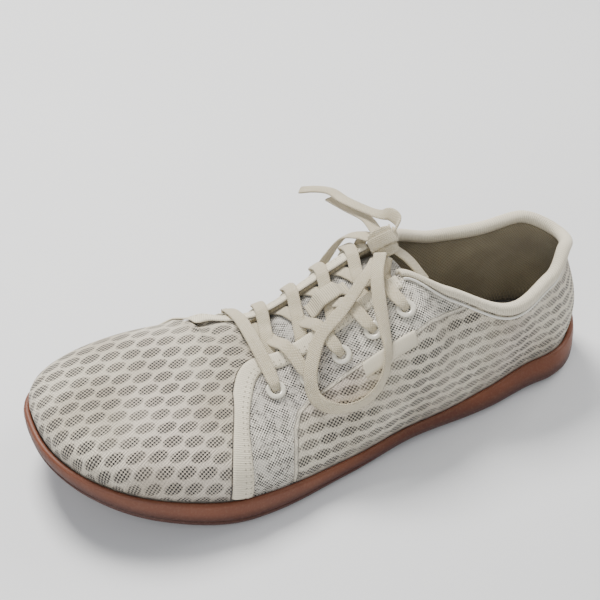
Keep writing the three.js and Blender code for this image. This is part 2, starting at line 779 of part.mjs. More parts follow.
// Collar roll: a padded channel over the upper's edge, from one front corner round the heel to the other.
function rollGeometry() {
  const sides = places().filter((at) => at <= THROAT_BACK);
  const ways = [...sides.slice(1).toReversed().map((at) => -at), ...sides];
  const top = (way) => {
    const s = section(way, 1);
    return place(s, skin(s, 1, WALL / 2));
  };
  const inside = WALL / 2 + 3.5 * CLEAR;
  const half = [
    [ROLL * 0.8, -ROLL * 0.75],
    [ROLL, -ROLL * 0.15],
    [ROLL * 0.76, ROLL * 0.62],
    [0, ROLL * 0.9],
  ];
  const hollow = [
    [inside, -ROLL * 0.66],
    [inside, -ROLL * 0.15],
    [inside, 1.6 * CLEAR],
    [0, 1.6 * CLEAR],
  ];
  const mirrored = (list) => [
    ...list.map(([u, v]) => [-u, v]),
    ...list.slice(0, -1).toReversed(),
  ];
  const profile = [...mirrored(half), ...mirrored(hollow).toReversed()];
  const outlines = ways.map((way) => {
    const s = section(way, 1);
    const run = top(way + 0.004).sub(top(way - 0.004)).setZ(0).normalize();
    const slant = Math.max(0.6, Math.abs(run.x * s.dy - run.y * s.dx));
    const up = wallCurve(s).getTangent(1);
    const p = skin(s, 1, WALL / 2);
    return profile.map(([u, v]) =>
      place(
        s,
        new THREE.Vector2(p.x + (u * up.y) / slant + v * up.x, p.y - u * up.x + v * up.y),
      ),
    );
  });
  return loft(outlines);
}

// A flat lace along a line of points. Each has the way that its flat side faces, and may be turned.
function laceGeometry(rows, steps, sides = 8) {
  const [w, t] = [LACE_WIDTH / 2, LACE / 2];
  const bevel = 0.4 * LACE;
  const half = sides === 8 ? [[w, t / 2], [w - bevel, t]] : [[w, 0.2 * t], [w - bevel, t]];
  const side = [...half, ...half.toReversed().map(([a, b]) => [-a, b])];
  const profile = [...side, ...side.toReversed().map(([a, b]) => [a, -b])];
  const path = new THREE.CatmullRomCurve3(
    rows.map((row) => row.point),
    false,
    "centripetal",
  );
  const outlines = Array.from({ length: steps + 1 }, (_, k) => {
    const index = Math.min(Math.floor((k / steps) * (rows.length - 1)), rows.length - 2);
    const rest = (k / steps) * (rows.length - 1) - index;
    const [a, b] = [rows[index], rows[index + 1]];
    const angle = THREE.MathUtils.degToRad((a.turn ?? 0) * (1 - rest) + (b.turn ?? 0) * rest);
    const way = path.getTangent(k / steps);
    const up = a.face.clone().lerp(b.face, rest).applyAxisAngle(way, angle);
    const across = way.clone().cross(up).normalize();
    up.copy(across).cross(way);
    const p = path.getPoint(k / steps);
    return profile.map(([u, v]) =>
      p.clone().addScaledVector(across, u).addScaledVector(up, v),
    );
  });
  return loft(outlines);
}

// Points for a lace: over the upper, or by millimetres from the middle of the knot.
const onUpper = ({ at, down, height, turn }) => ({
  point: over(at, down, height),
  face: facing(at, down),
  turn,
});
const knotPlace = () => over(THROAT_BACK, -KNOT / 2, KNOT_HEIGHT);
const fromKnot = ({ x, y, z, turn }) => ({
  point: knotPlace().add(new THREE.Vector3(x, y, z)),
  face: new THREE.Vector3(0, 0, 1),
  turn,
});

// Height of a strand's middle: 0 lies on the tongue and 1 on the tape.
function levelOf(share) {
  const low = -TONGUE_ROOM + CLEAR + LACE / 2;
  const high = CLEAR + TAPE + CLEAR + LACE / 2;
  return low + (high - low) * share;
}

// A strand from under one side's edge to the other side's next eyelet. way: 1 ends on the outer side.
function strandRows(from, to, way, column) {
  const at = (down) => from.at + ((to.at - from.at) * (down + EYELET_DOWN)) / (2 * EYELET_DOWN);
  const rows = STRAND.map((row) => ({ down: row.across * THROAT, level: row[column] })).concat(
    { down: THROAT + TAPE_WIDTH / 2, level: 1.14 },
    { down: THROAT + 1.15 * TAPE_WIDTH, level: 1.26 },
    { down: EYELET_DOWN, level: 1.3 },
  );
  return rows.map(({ down, level }) => ({
    at: at(down),
    down: way * down,
    height: levelOf(level),
  }));
}

function crossingGeometry(k) {
  const places = eyeletPlaces();
  const [from, to] = [places[k], places[k + 1]];
  const strands = [
    strandRows(from, to, -1, "over"),
    strandRows(from, to, 1, "under"),
  ].map((rows) => manifold(laceGeometry(rows.map(onUpper), rows.length - 1, 6)));
  return geometry(strands[0].add(strands[1]));
}

// The bar at the throat's front, between the first two eyelets
function barGeometry() {
  const rows = [-1, -0.85, -0.6, -0.3, 0.3, 0.6, 0.85, 1].map((share) => ({
    at: EYELET_FRONT,
    down: share * EYELET_DOWN,
    height: levelOf(1.1 + 0.1 * Math.abs(share)),
  }));
  return laceGeometry(rows.map(onUpper), rows.length - 1, 6);
}

const group = new THREE.Group();
function add(name, g, colour, roughness) {
  const mesh = new THREE.Mesh(
    g,
    new THREE.MeshStandardMaterial({ color: colour, roughness, metalness: 0 }),
  );
  mesh.name = name;
  group.add(mesh);
  return mesh;
}

const RUBBER = 0x8a4a26;
const MESH = 0xd8d2c4;
const LINING = 0x8d8468;
const CLOTH = 0xe0dac8;

add("outsole", soleGeometry(), RUBBER, 0.6);
add("upper", upperGeometry(), MESH, 0.9);
add("insole", insoleGeometry(), 0x4a4238, 0.95);
add("tongue", tongueGeometry(), LINING, 0.9);
add("tongue_keeper", stripGeometry(keeperLine, KEEPER_WIDTH, KEEPER, 9), CLOTH, 0.85);
add("collar_roll", rollGeometry(), CLOTH, 0.85);
add("quarter_tape_outer", stripGeometry(tapeLine("outer"), TAPE_WIDTH, TAPE, 20), CLOTH, 0.85);
add("quarter_tape_inner", stripGeometry(tapeLine("inner"), TAPE_WIDTH, TAPE, 18), CLOTH, 0.85);
add("side_tag", stripGeometry(tagLine, TAG_WIDTH, TAPE, 3), CLOTH, 0.8);
for (const { name, at, down } of eyeletPlaces())
  add(name, eyeletGeometry(), 0xeeeade, 0.3).applyMatrix4(seat(at, down));
add("lace_bar", barGeometry(), CLOTH, 0.8);
for (let k = 0; k < EYELETS - 1; k += 1)
  add(`lace_crossing_${k + 1}`, crossingGeometry(k), CLOTH, 0.8);

const knot = add("lace_knot", new THREE.SphereGeometry(KNOT, 9, 6), CLOTH, 0.8);
knot.scale.set(0.85, 1, 0.78);
knot.position.copy(knotPlace());
for (const [name, rows] of Object.entries(LOOPS))
  add(name, laceGeometry(rows.map(onUpper), rows.length + 3), CLOTH, 0.8);
for (const [name, rows] of Object.entries(ENDS))
  add(name, laceGeometry(rows.map(fromKnot), rows.length + 1), CLOTH, 0.8);

export default group;
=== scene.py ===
"""A left barefoot shoe, dressed over its fixed frame.

The pieces are worked out in millimetres from the shoe's own sizes and are made meshes in metres.
"""

import logging
import math
from collections.abc import Callable
from dataclasses import dataclass, field
from enum import Enum
from functools import lru_cache

import bmesh
import bpy
import numpy as np
from mathutils import Matrix, Vector

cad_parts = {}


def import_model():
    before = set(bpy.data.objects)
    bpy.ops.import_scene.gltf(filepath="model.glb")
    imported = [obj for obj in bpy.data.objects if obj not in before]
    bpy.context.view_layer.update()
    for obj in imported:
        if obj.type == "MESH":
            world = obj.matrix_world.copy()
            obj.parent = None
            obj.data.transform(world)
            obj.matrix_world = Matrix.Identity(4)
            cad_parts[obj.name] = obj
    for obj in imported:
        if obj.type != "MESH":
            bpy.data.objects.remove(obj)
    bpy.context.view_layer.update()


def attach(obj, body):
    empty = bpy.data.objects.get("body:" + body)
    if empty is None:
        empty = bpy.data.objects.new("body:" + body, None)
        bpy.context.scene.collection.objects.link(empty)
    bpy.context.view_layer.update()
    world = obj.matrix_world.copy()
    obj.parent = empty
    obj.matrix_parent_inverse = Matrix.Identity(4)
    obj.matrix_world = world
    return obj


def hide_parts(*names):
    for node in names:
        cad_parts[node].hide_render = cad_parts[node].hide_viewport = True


log = logging.getLogger("shoe")

Colour = tuple[float, float, float, float]
Triple = tuple[float, float, float]
Line = Callable[[float], Triple]

MM = 0.001
# Points closer than this are merged, in metres, and edges shorter than the next are dropped
MERGE = 2e-5
SHORTEST = 1e-6

# Driving sizes of the shoe, in millimetres
LENGTH = 284.0
BALL_WIDTH = 106.0
HEEL_WIDTH = 70.0
INSTEP_HEIGHT = 74.0
HEEL_HEIGHT = 68.0
WALL = 2.0
SEAT = 5.5
LIP = 2.6
CLEAR = 0.3
INSOLE = 3.0
THROAT = 12.5
TONGUE = 2.5
TONGUE_WIDTH = 40.0
TAPE = 0.9
TAPE_WIDTH = 8.0
TAG_WIDTH = 7.0
ROLL = 3.3
KEEPER = 0.8
KEEPER_WIDTH = 10.0
EYELETS = 5
EYELET_DOWN = 30.7
EYELET_BORE = 2.2
EYELET_BARREL = 2.9
EYELET_FLANGE = 4.6
FLANGE = 0.9
LACE_WIDTH = 6.2
LACE = 1.3
KNOT = 5.2
KNOT_HEIGHT = 8.0

# Places along the shoe, as shares of its length from the heel's back
HEEL_TURN = 0.13
TOE_TURN = 0.7
THROAT_FRONT = 0.645
THROAT_ROUND = 0.05
THROAT_BACK = 0.385
EYELET_FRONT = 0.635
EYELET_BACK = 0.406
TAG = (0.498, 0.409)
KEEPER_FRONT = 0.529
KEEPER_BACK = 0.455

# The place that the lights face, in metres
LIT_PLACE = (0.1, 0, 0.02)


@dataclass(frozen=True)
class Table:
    """Sizes along the shoe: each row starts with its share of the length."""

    names: tuple[str, ...]
    rows: tuple[tuple[float, ...], ...]

    def read(self, name: str, at: float, free: bool = False) -> float:
        """Reads a column at a place, along a curve that never overshoots its rows.

        Args:
            name: The column.
            at: Share of the shoe's length.
            free: Keeps the slope at the table's ends; otherwise they are level.

        Returns:
            The column's value there.
        """
        return _read(self, name, at, free)


@lru_cache(maxsize=None)
def _read(table: Table, name: str, at: float, free: bool) -> float:
    """Does the work of Table.read.

    Args:
        table: The table.
        name: The column.
        at: Share of the shoe's length.
        free: Keeps the slope at the table's ends.

    Returns:
        The column's value there.
    """
    column = table.names.index(name)
    rows = table.rows
    last = len(rows) - 1

    def rise(k: int) -> float:
        """Slope from a row to the next."""
        return (rows[k + 1][column] - rows[k][column]) / (rows[k + 1][0] - rows[k][0])

    def slope(k: int) -> float:
        """Slope of the curve at a row.

        Args:
            k: The row.

        Returns:
            The slope.
        """
        if k == 0:
            return rise(0) if free else 0.0
        if k == last:
            return rise(last - 1) if free else 0.0
        a, b = rise(k - 1), rise(k)
        return 0.0 if a * b <= 0 else 2 * a * b / (a + b)

    place = min(max(at, rows[0][0]), rows[last][0])
    k = 0
    while k < last - 1 and place > rows[k + 1][0]:
        k += 1
    wide = rows[k + 1][0] - rows[k][0]
    t = (place - rows[k][0]) / wide
    flat = rows[k][column] + (rows[k + 1][column] - rows[k][column]) * t * t * (3 - 2 * t)
    out = slope(k) * wide * t * (1 - t) * (1 - t)
    back = slope(k + 1) * wide * t * t * (1 - t)
    return flat + out - back


SPINE = Table(("at", "y"), ((0.13, 0.0), (0.42, -9.0), (0.6, -6.5), (0.7, -12.4)))
OUTLINE = Table(
    ("at", "outer", "inner"),
    (
        (0.13, 0.651, 0.66),
        (0.25, 0.744, 0.62),
        (0.4, 0.8, 0.568),
        (0.55, 0.931, 0.769),
        (0.7, 1.039, 1.043),
    ),
)
TOE_POWER = {1: 2.2, -1: 2.94}
HEEL_POWER = {1: 2.04, -1: 2.2}
ROCKER = Table(
    ("at", "lift"),
    (
        (0.0, 5.5),
        (0.06, 0.0),
        (0.28, 0.0),
        (0.42, 1.6),
        (0.54, 0.0),
        (0.72, 0.0),
        (0.86, 8.2),
        (1.0, 20.5),
    ),
)
LIP_HEIGHT = Table(
    ("at", "height", "flare"),
    (
        (0.0, 16.1, 0.3),
        (0.13, 13.9, 3.8),
        (0.25, 11.4, 3.3),
        (0.38, 8.1, 1.6),
        (0.55, 10.3, 0.9),
        (0.75, 14.5, 0.8),
        (1.0, 10.6, 0.2),
    ),
)
RIDGE = Table(
    ("at", "height", "tilt"),
    (
        (0.37, 1.015, -0.004),
        (0.42, 0.939, 0.009),
        (0.52, 0.799, 0.089),
        (0.62, 0.687, 0.213),
        (0.7, 0.663, 0.221),
    ),
)
COLLAR = (
    (0.0, 0.739, 0.964, 100.0),
    (0.07, 0.632, 1.018, 92.0),
    (0.13, 0.742, 0.916, 84.0),
    (0.22, 0.973, 0.833, 76.0),
    (0.32, 0.747, 0.989, 55.0),
)
WALLS = Table(
    ("at", "bulge", "side", "top"),
    (
        (0.0, 5.7, 0.42, 0.22),
        (0.13, 3.3, 0.38, 0.29),
        (0.3, 4.0, 0.44, 0.34),
        (0.42, 5.1, 0.62, 0.67),
        (0.6, 4.8, 0.4, 0.44),
        (0.7, 4.0, 0.53, 0.46),
        (1.0, 3.7, 0.83, 0.69),
    ),
)
TONGUE_ROWS = Table(
    ("at", "wide", "rise"),
    (
        (0.362, 0.76, -1.1),
        (0.39, 0.88, -1.1),
        (0.43, 0.98, 0.0),
        (0.5, 1.0, 0.0),
        (0.628, 0.96, 0.0),
        (0.648, 0.86, 0.85),
        (0.668, 0.7, 0.85),
    ),
)
TAPES = {
    1: (
        (0.734, 1.0),
        (0.728, 0.76),
        (0.718, 0.55),
        (0.704, 0.39),
        (0.687, 0.235),
        (0.667, 0.09),
        (0.65, 0.02),
        (0.632, 0.0),
        (0.52, 0.0),
        (0.393, 0.0),
    ),
    -1: (
        (0.762, 1.0),
        (0.758, 0.76),
        (0.75, 0.55),
        (0.738, 0.38),
        (0.72, 0.22),
        (0.695, 0.1),
        (0.665, 0.03),
        (0.635, 0.0),
        (0.52, 0.0),
        (0.393, 0.0),
    ),
}
# The seam behind the fine mesh: share of the length, and distance down from the ridge line
SEAM = (
    (0.655, 90.0),
    (0.651, 77.0),
    (0.644, 63.8),
    (0.629, 50.4),
    (0.612, 42.5),
    (0.59, 39.6),
    (0.537, 39.3),
    (0.497, 39.7),
    (0.45, 42.2),
    (0.409, 43.2),
    (0.352, 39.1),
    (0.301, 32.8),
    (0.27, 28.0),
)
# A crossing strand: share of the throat's half width, and levels of the strand on top and the
# one below, from 0 on the tongue to 1 on the tape
STRAND = (
    (-1.9, 0.06, 0.06),
    (-0.84, 0.08, 0.08),
    (-0.4, 0.18, 0.1),
    (0.0, 0.33, 0.12),
    (0.4, 0.42, 0.3),
    (0.7, 0.8, 0.76),
    (0.92, 1.1, 1.1),
)
# The lace's loops and front riser: share of the length, down from the ridge, height over the
# upper, and roll in degrees
LOOPS = {
    "lace_loop_outer": (
        (0.41, 3.4, 6.6, 0),
        (0.428, 7, 7.3, 0),
        (0.4576, 11, 7, 0),
        (0.5015, 15.6, 5.5, 0),
        (0.5436, 18.8, 4.9, 0),
        (0.5697, 25.7, 5.8, 0),
        (0.5836, 32.5, 5, 0),
        (0.585, 39.8, 3.5, 15),
        (0.571, 46.5, 3.6, 35),
        (0.547, 51, 4, 50),
        (0.52, 53.6, 4, 42),
        (0.495, 53, 4, 45),
        (0.4756, 49, 4.2, 55),
        (0.462, 41.8, 4.6, 58),
        (0.4555, 33.8, 5.2, 40),
        (0.4465, 23.8, 7.4, 12),
        (0.43, 13, 10, 0),
        (0.408, 5, 11, 0),
    ),
    "lace_loop_inner": (
        (0.392, -9.6, 7.2, 0),
        (0.398, -16, 6.6, 0),
        (0.41, -24, 6.8, 0),
        (0.432, -31, 6, 0),
        (0.461, -37, 4.5, 0),
        (0.4845, -44.3, 3.2, 0),
        (0.4945, -53.5, 3, 0),
        (0.4795, -62, 3, 0),
        (0.449, -64.8, 3, 0),
        (0.4175, -60, 3.2, 0),
        (0.396, -50, 3.6, 0),
        (0.382, -39, 4, 0),
        (0.3755, -28, 4.4, 0),
        (0.38, -17, 4.2, 0),
        (0.385, -9, 4, 0),
    ),
    "lace_riser_front": (
        (0.403, 10.3, -2.6, 0),
        (0.401, 7.4, -0.9, 0),
        (0.396, 5.2, 2, 0),
        (0.391, 3.6, 4.4, 0),
    ),
}
# The lace's ends and back riser: millimetres from the middle of the knot, and roll in degrees
ENDS = {
    "lace_riser_back": (
        (-15, 17, -16, 0),
        (-11, 13, -10, 0),
        (-7.5, 8.6, -5.6, 0),
        (-3, 3.3, -2.3, 0),
    ),
    "lace_end_long": (
        (-4.5, 0.4, 3.8, -60),
        (-9, -3, 6.6, -75),
        (-8.4, -9, 7.4, -50),
        (-5.3, -13, 6, -15),
        (-3.4, -20, 4, 0),
        (1.1, -36.7, 1.6, 0),
        (2.8, -49.2, 0, 0),
        (7.8, -56.8, -2, 0),
        (13.1, -61.6, -4, 0),
    ),
    "lace_end_short": (
        (0, -5.7, 0.8, 0),
        (-1.8, -19.4, 0.2, 0),
        (0, -34.1, -2.4, 0),
        (2.7, -49, -4.2, 0),
    ),
}
TONGUE_ROOM = WALL + LACE + 2.4 * CLEAR


def clamp(value: float, low: float, high: float) -> float:
    """Keeps a value between two limits."""
    return min(high, max(low, value))


def smooth(t: float) -> float:
    """Eases from 0 to 1."""
    return t * t * (3 - 2 * t)


def walk(line: np.ndarray) -> np.ndarray:
    """Distance along a line at each of its points."""
    return np.concatenate(((0.0,), np.cumsum(np.linalg.norm(np.diff(line, axis=0), axis=1))))


@dataclass(frozen=True)
class Section:
    """A section of the shoe: its foot on the spine, and the way that it faces."""

    at: float
    side: int
    angle: float
    x: float
    y: float
    dx: float
    dy: float

    def point(self, r: float, z: float) -> np.ndarray:
        """The point at a distance from the spine and a height over the floor."""
        return np.array((self.x + self.dx * r, self.y + self.dy * r, z))


class Curve:
    """A cubic curve of distance and height."""

    STEPS = 80

    def __init__(self, points: np.ndarray) -> None:
        """Keeps the control points and measures the curve.

        Args:
            points: The four control points, each a distance and a height.
        """
        self.points = points
        t = np.linspace(0, 1, self.STEPS + 1)
        self.run = walk(self.at(t))
        self.length = float(self.run[-1])
        self.shares = t

    def at(self, t: np.ndarray | float) -> np.ndarray:
        """Points at shares of the curve.

        Args:
            t: The shares.

        Returns:
            The points, one to a row.
        """
        t = np.atleast_1d(t)[:, None]
        a, b, c, d = self.points
        return a * (1 - t) ** 3 + 3 * b * t * (1 - t) ** 2 + 3 * c * t * t * (1 - t) + d * t**3

    def way(self, t: np.ndarray | float) -> np.ndarray:
        """Unit tangents at shares of the curve.

        Args:
            t: The shares.

        Returns:
            The tangents, one to a row.
        """
        t = np.atleast_1d(t)[:, None]
        a, b, c, d = self.points
        way = 3 * (b - a) * (1 - t) ** 2 + 6 * (c - b) * t * (1 - t) + 3 * (d - c) * t * t
        return way / np.maximum(np.linalg.norm(way, axis=1, keepdims=True), 1e-9)

    def share(self, distance: float) -> float:
        """The share of the curve at a distance along it."""
        return float(np.interp(distance, self.run, self.shares))

    def trimmed(self, share: float) -> "Curve":
        """The first part of the curve, up to a share of it.

        Args:
            share: Where it ends.

        Returns:
            The shorter curve.
        """
        a, b, c, d = self.points
        ab, bc, cd = a + (b - a) * share, b + (c - b) * share, c + (d - c) * share
        abc, bcd = ab + (bc - ab) * share, bc + (cd - bc) * share
        return Curve(np.array((a, ab, abc, abc + (bcd - abc) * share)))


class Last:
    """The shoe's own form: every piece takes its place from it."""

    @staticmethod
    def section(place: float, way: int) -> Section:
        """The section at a place.

        Args:
            place: Share of the length. Below 0 or over 1 it carries on round the other side.
            way: 1 for the outer side and -1 for the inner side.

        Returns:
            The section.
        """
        around = place < 0 or place > 1
        at = -place if place < 0 else 2 - place if place > 1 else place
        side = -way if around else way
        spine = clamp(at, HEEL_TURN, TOE_TURN)
        if at < HEEL_TURN:
            turned = (at - HEEL_TURN) / HEEL_TURN
        else:
            turned = (at - spine) / (1 - TOE_TURN)
        angle = turned * math.pi / 2
        return Section(
            at,
            side,
            angle,
            (spine - HEEL_TURN) * LENGTH,
            SPINE.read("y", spine),
            math.sin(angle),
            math.cos(angle) * side,
        )

    @staticmethod
    @lru_cache(maxsize=None)
    def reach(s: Section) -> float:
        """Distance from the spine to the outside of the sole.

        Args:
            s: The section.

        Returns:
            The distance in millimetres.
        """
        column = "outer" if s.side > 0 else "inner"
        spine = clamp(s.at, HEEL_TURN, TOE_TURN)
        across = OUTLINE.read(column, spine) * BALL_WIDTH / 2 - s.side * s.y
        if s.angle == 0:
            return across
        ahead = (HEEL_TURN if s.angle < 0 else 1 - TOE_TURN) * LENGTH
        power = (HEEL_POWER if s.angle < 0 else TOE_POWER)[s.side]
        oval = (abs(math.cos(s.angle)) / across) ** power
        oval += (abs(math.sin(s.angle)) / ahead) ** power
        return oval ** (-1 / power)

    @staticmethod
    def lift(s: Section, r: float) -> float:
        """Height of the sole's underside over the floor."""
        return ROCKER.read("lift", (s.x + s.dx * r) / LENGTH + HEEL_TURN, True)

    @staticmethod
    def ridge(at: float) -> float:
        """Height of the ridge line."""
        return RIDGE.read("height", at, True) * INSTEP_HEIGHT

    @classmethod
    def lip_height(cls, s: Section) -> float:
        """Height of the top of the sole's lip."""
        return cls.lift(s, cls.reach(s)) + LIP_HEIGHT.read("height", s.at)

    @classmethod
    def foot_of(cls, s: Section) -> float:
        """Distance from the spine to the upper's outside where it stands in the lip."""
        return cls.reach(s) - LIP_HEIGHT.read("flare", s.at) - LIP - CLEAR

    @classmethod
    def wall(
        cls, s: Section, r: float, z: float, lean: float, handle: float, bulge: float, side: float
    ) -> Curve:
        """The outside of the wall, from the lip to its top.

        Args:
            s: The section.
            r: Distance of the top from the spine.
            z: Height of the top.
            lean: Slope down at the top, in radians.
            handle: Length of the handle at the top.
            bulge: How far the wall swells out at the side.
            side: Share of the height at which it does.

        Returns:
            The wall's curve.
        """
        foot, low = cls.foot_of(s), cls.lip_height(s)
        return Curve(
            np.array(
                (
                    (foot, low),
                    (foot + bulge, low + side * (z - low)),
                    (r + math.cos(lean) * handle, z - math.sin(lean) * handle),
                    (r, z),
                )
            )
        )

    @classmethod
    @lru_cache(maxsize=None)
    def arch(cls, s: Section) -> Curve:
        """The whole curve over the foot, from the lip to the ridge line.

        Args:
            s: The section.

        Returns:
            The curve.
        """
        at = min(s.at, TOE_TURN)
        tilt = RIDGE.read("tilt", at, True)
        lean = math.atan(s.side * tilt)
        if s.at > TOE_TURN:
            fall = (cls.ridge(TOE_TURN - 0.01) - cls.ridge(TOE_TURN)) / (0.01 * LENGTH)
            tilt = RIDGE.read("tilt", TOE_TURN, True)
            lean = math.atan(fall * s.dx + tilt * s.dy)
        z = cls.ridge(at)
        handle = WALLS.read("top", s.at) * math.hypot(cls.foot_of(s), z - cls.lip_height(s))
        return cls.wall(
            s, 0, z, lean, handle, WALLS.read("bulge", s.at), WALLS.read("side", s.at)
        )

    @staticmethod
    def slot(at: float) -> float:
        """Half the width of the throat."""
        ahead = clamp(1 - (THROAT_FRONT - at) / THROAT_ROUND, 0, 1)
        return THROAT * math.sqrt(1 - ahead * ahead)

    @classmethod
    @lru_cache(maxsize=None)
    def throat(cls, s: Section) -> Curve:
        """The wall's curve beside the throat.

        Args:
            s: The section.

        Returns:
            The curve, up to the throat's edge.
        """
        whole = cls.arch(s)
        low, high = 0.3, 1.0
        for _ in range(30):
            middle = (low + high) / 2
            if whole.at(middle)[0, 0] > cls.slot(s.at):
                low = middle
            else:
                high = middle
        return whole.trimmed((low + high) / 2)

    @classmethod
    @lru_cache(maxsize=None)
    def collar_table(cls, side: int) -> Table:
        """The collar's rows, carried on from the throat's last section.

        Args:
            side: 1 for the outer side and -1 for the inner side.

        Returns:
            The collar's table.
        """
        end = cls.throat(cls.section(THROAT_BACK, side)).points
        rows = [
            (
                at,
                out * HEEL_WIDTH / 2,
                height * HEEL_HEIGHT,
                math.radians(lean),
                WALLS.read("bulge", at),
                WALLS.read("side", at),
                WALLS.read("top", at),
            )
            for at, out, height, lean in COLLAR
        ]
        rows.append(
            (
                THROAT_BACK,
                end[3][0],
                end[3][1],
                math.atan2(end[3][1] - end[2][1], end[2][0] - end[3][0]),
                end[1][0] - end[0][0],
                (end[1][1] - end[0][1]) / (end[3][1] - end[0][1]),
                float(np.linalg.norm(end[2] - end[3]) / np.linalg.norm(end[3] - end[0])),
            )
        )
        return Table(("at", "r", "z", "lean", "bulge", "side", "top"), tuple(rows))

    @classmethod
    @lru_cache(maxsize=None)
    def wall_curve(cls, s: Section) -> Curve:
        """The outside of the upper in a section, from the lip to its edge.

        Args:
            s: The section.

        Returns:
            The curve.
        """
        if s.at >= THROAT_FRONT:
            return cls.arch(s)
        if s.at >= THROAT_BACK:
            return cls.throat(s)
        rows = cls.collar_table(s.side)
        r, z = rows.read("r", s.at), rows.read("z", s.at)
        handle = rows.read("top", s.at) * math.hypot(cls.foot_of(s) - r, z - cls.lip_height(s))
        return cls.wall(
            s,
            r,
            z,
            rows.read("lean", s.at),
            handle,
            rows.read("bulge", s.at),
            rows.read("side", s.at),
        )

    @classmethod
    def over(cls, at: float, down: float, height: float) -> np.ndarray:
        """A point on the upper or over its throat.

        Args:
            at: Share of the length.
            down: Distance from the ridge line over the skin, more than 0 on the outer side.
            height: Height over the skin.

        Returns:
            The point, in millimetres.
        """
        s = cls.section(at, -1 if down < 0 else 1)
        curve = cls.arch(s)
        t = curve.share(clamp(curve.length - abs(down), 0, curve.length))
        p, way = curve.at(t)[0], curve.way(t)[0]
        raised = height + Creases.depth(at, down)
        return s.point(p[0] + raised * way[1], p[1] - raised * way[0])

    @classmethod
    def facing(cls, at: float, down: float) -> np.ndarray:
        """The way out from the skin at such a point.

        Args:
            at: Share of the length.
            down: Distance from the ridge line over the skin.

        Returns:
            The unit normal.
        """
        step = 0.5
        ahead = cls.over(at + step / LENGTH, down, 0) - cls.over(at - step / LENGTH, down, 0)
        across = cls.over(at, down + step, 0) - cls.over(at, down - step, 0)
        out = np.cross(ahead, across)
        return out / np.linalg.norm(out)


@dataclass(frozen=True)
class Crease:
    """A soft trough or ridge in the upper, between two places."""

    start: tuple[float, float]
    end: tuple[float, float]
    wide: float
    deep: float


class Creases:
    """The upper's main creases, listed one by one."""

    ALL = (
        Crease((0.683, -3), (0.694, -17), 3.6, -2.0),
        Crease((0.712, -12), (0.75, -27), 5.5, 1.4),
        Crease((0.69, 8), (0.735, 20), 9.0, -0.5),
        Crease((0.62, 62), (0.60, 38), 5.0, -0.9),
        Crease((0.645, 58), (0.66, 34), 5.0, 0.5),
        Crease((0.56, 70), (0.50, 44), 6.5, -0.6),
        Crease((0.47, 78), (0.40, 60), 7.0, 0.5),
        Crease((0.34, 60), (0.26, 50), 7.0, -0.5),
        Crease((0.55, 36), (0.50, 36), 3.5, -0.5),
        Crease((0.80, 30), (0.86, 10), 10.0, 0.35),
        Crease((0.52, -55), (0.46, -40), 6.0, -0.6),
    )

    @classmethod
    @lru_cache(maxsize=None)
    def depth(cls, at: float, down: float) -> float:
        """How far the skin stands out at a place, in millimetres.

        Args:
            at: Share of the length.
            down: Distance from the ridge line over the skin.

        Returns:
            The depth, less than 0 in a trough.
        """
        total = 0.0
        x, y = at * LENGTH, down
        for crease in cls.ALL:
            ax, ay = crease.start[0] * LENGTH, crease.start[1]
            bx, by = crease.end[0] * LENGTH, crease.end[1]
            vx, vy = bx - ax, by - ay
            share = clamp(((x - ax) * vx + (y - ay) * vy) / (vx * vx + vy * vy), 0, 1)
            gap = math.hypot(x - ax - share * vx, y - ay - share * vy)
            if gap < 3 * crease.wide:
                total += crease.deep * math.exp(-((gap / crease.wide) ** 2))
        return total


class MapName(str, Enum):
    """Names of the UV maps that the materials read."""

    PLAN = "plan"
    SIDE = "side"
    LIMITS = "limits"


class Surface:
    """A mesh over a grid of points."""

    def __init__(self, name: str, grid: np.ndarray) -> None:
        """Starts a surface.

        Args:
            name: The piece's name.
            grid: Points in millimetres, outlines by points by 3.
        """
        self.name = name
        self.grid = grid
        self.maps: dict[str, np.ndarray] = {}

    def build(
        self, ring: bool = False, closed: bool = True, skip: np.ndarray | None = None
    ) -> bpy.types.Object:
        """Makes the mesh.

        Args:
            ring: The last outline meets the first.
            closed: Each outline's last point meets its first.
            skip: Faces to leave out, by outline and point.

        Returns:
            The piece, with its maps.
        """
        n, m = self.grid.shape[:2]
        faces, corners = [], []
        for i in range(n if ring else n - 1):
            for j in range(m if closed else m - 1):
                if skip is not None and skip[i, j]:
                    continue
                a, b = (i + 1) % n, (j + 1) % m
                corners.append(((i, j), (a, j), (a, b), (i, b)))
                faces.append((i * m + j, a * m + j, a * m + b, i * m + b))
        if not ring and closed:
            for row, flip in ((0, False), (n - 1, True)):
                order = list(range(m))
                if flip:
                    order.reverse()
                corners.append(tuple((row, k) for k in order))
                faces.append(tuple(row * m + k for k in order))
        mesh = bpy.data.meshes.new(self.name)
        mesh.from_pydata((self.grid.reshape(-1, 3) * MM).tolist(), [], faces)
        for key, values in self.maps.items():
            layer = mesh.uv_layers.new(name=key)
            flat = [values[i][j] for loop in corners for i, j in loop]
            layer.data.foreach_set("uv", np.array(flat, dtype=np.float32).ravel())
        piece = bpy.data.objects.new(self.name, mesh)
        bpy.context.collection.objects.link(piece)
        self.tidy(mesh)
        mesh.shade_smooth()
        return piece

    @staticmethod
    def tidy(mesh: bpy.types.Mesh) -> None:
        """Merges doubled points and turns the faces out.

        Args:
            mesh: The mesh, which is changed.
        """
        bm = bmesh.new()
        bm.from_mesh(mesh)
        bmesh.ops.remove_doubles(bm, verts=bm.verts, dist=MERGE)
        bmesh.ops.dissolve_degenerate(bm, edges=bm.edges, dist=SHORTEST)
        bmesh.ops.recalc_face_normals(bm, faces=bm.faces)
        if bm.calc_volume(signed=True) < 0:
            bmesh.ops.reverse_faces(bm, faces=bm.faces)
        bm.to_mesh(mesh)
        bm.free()


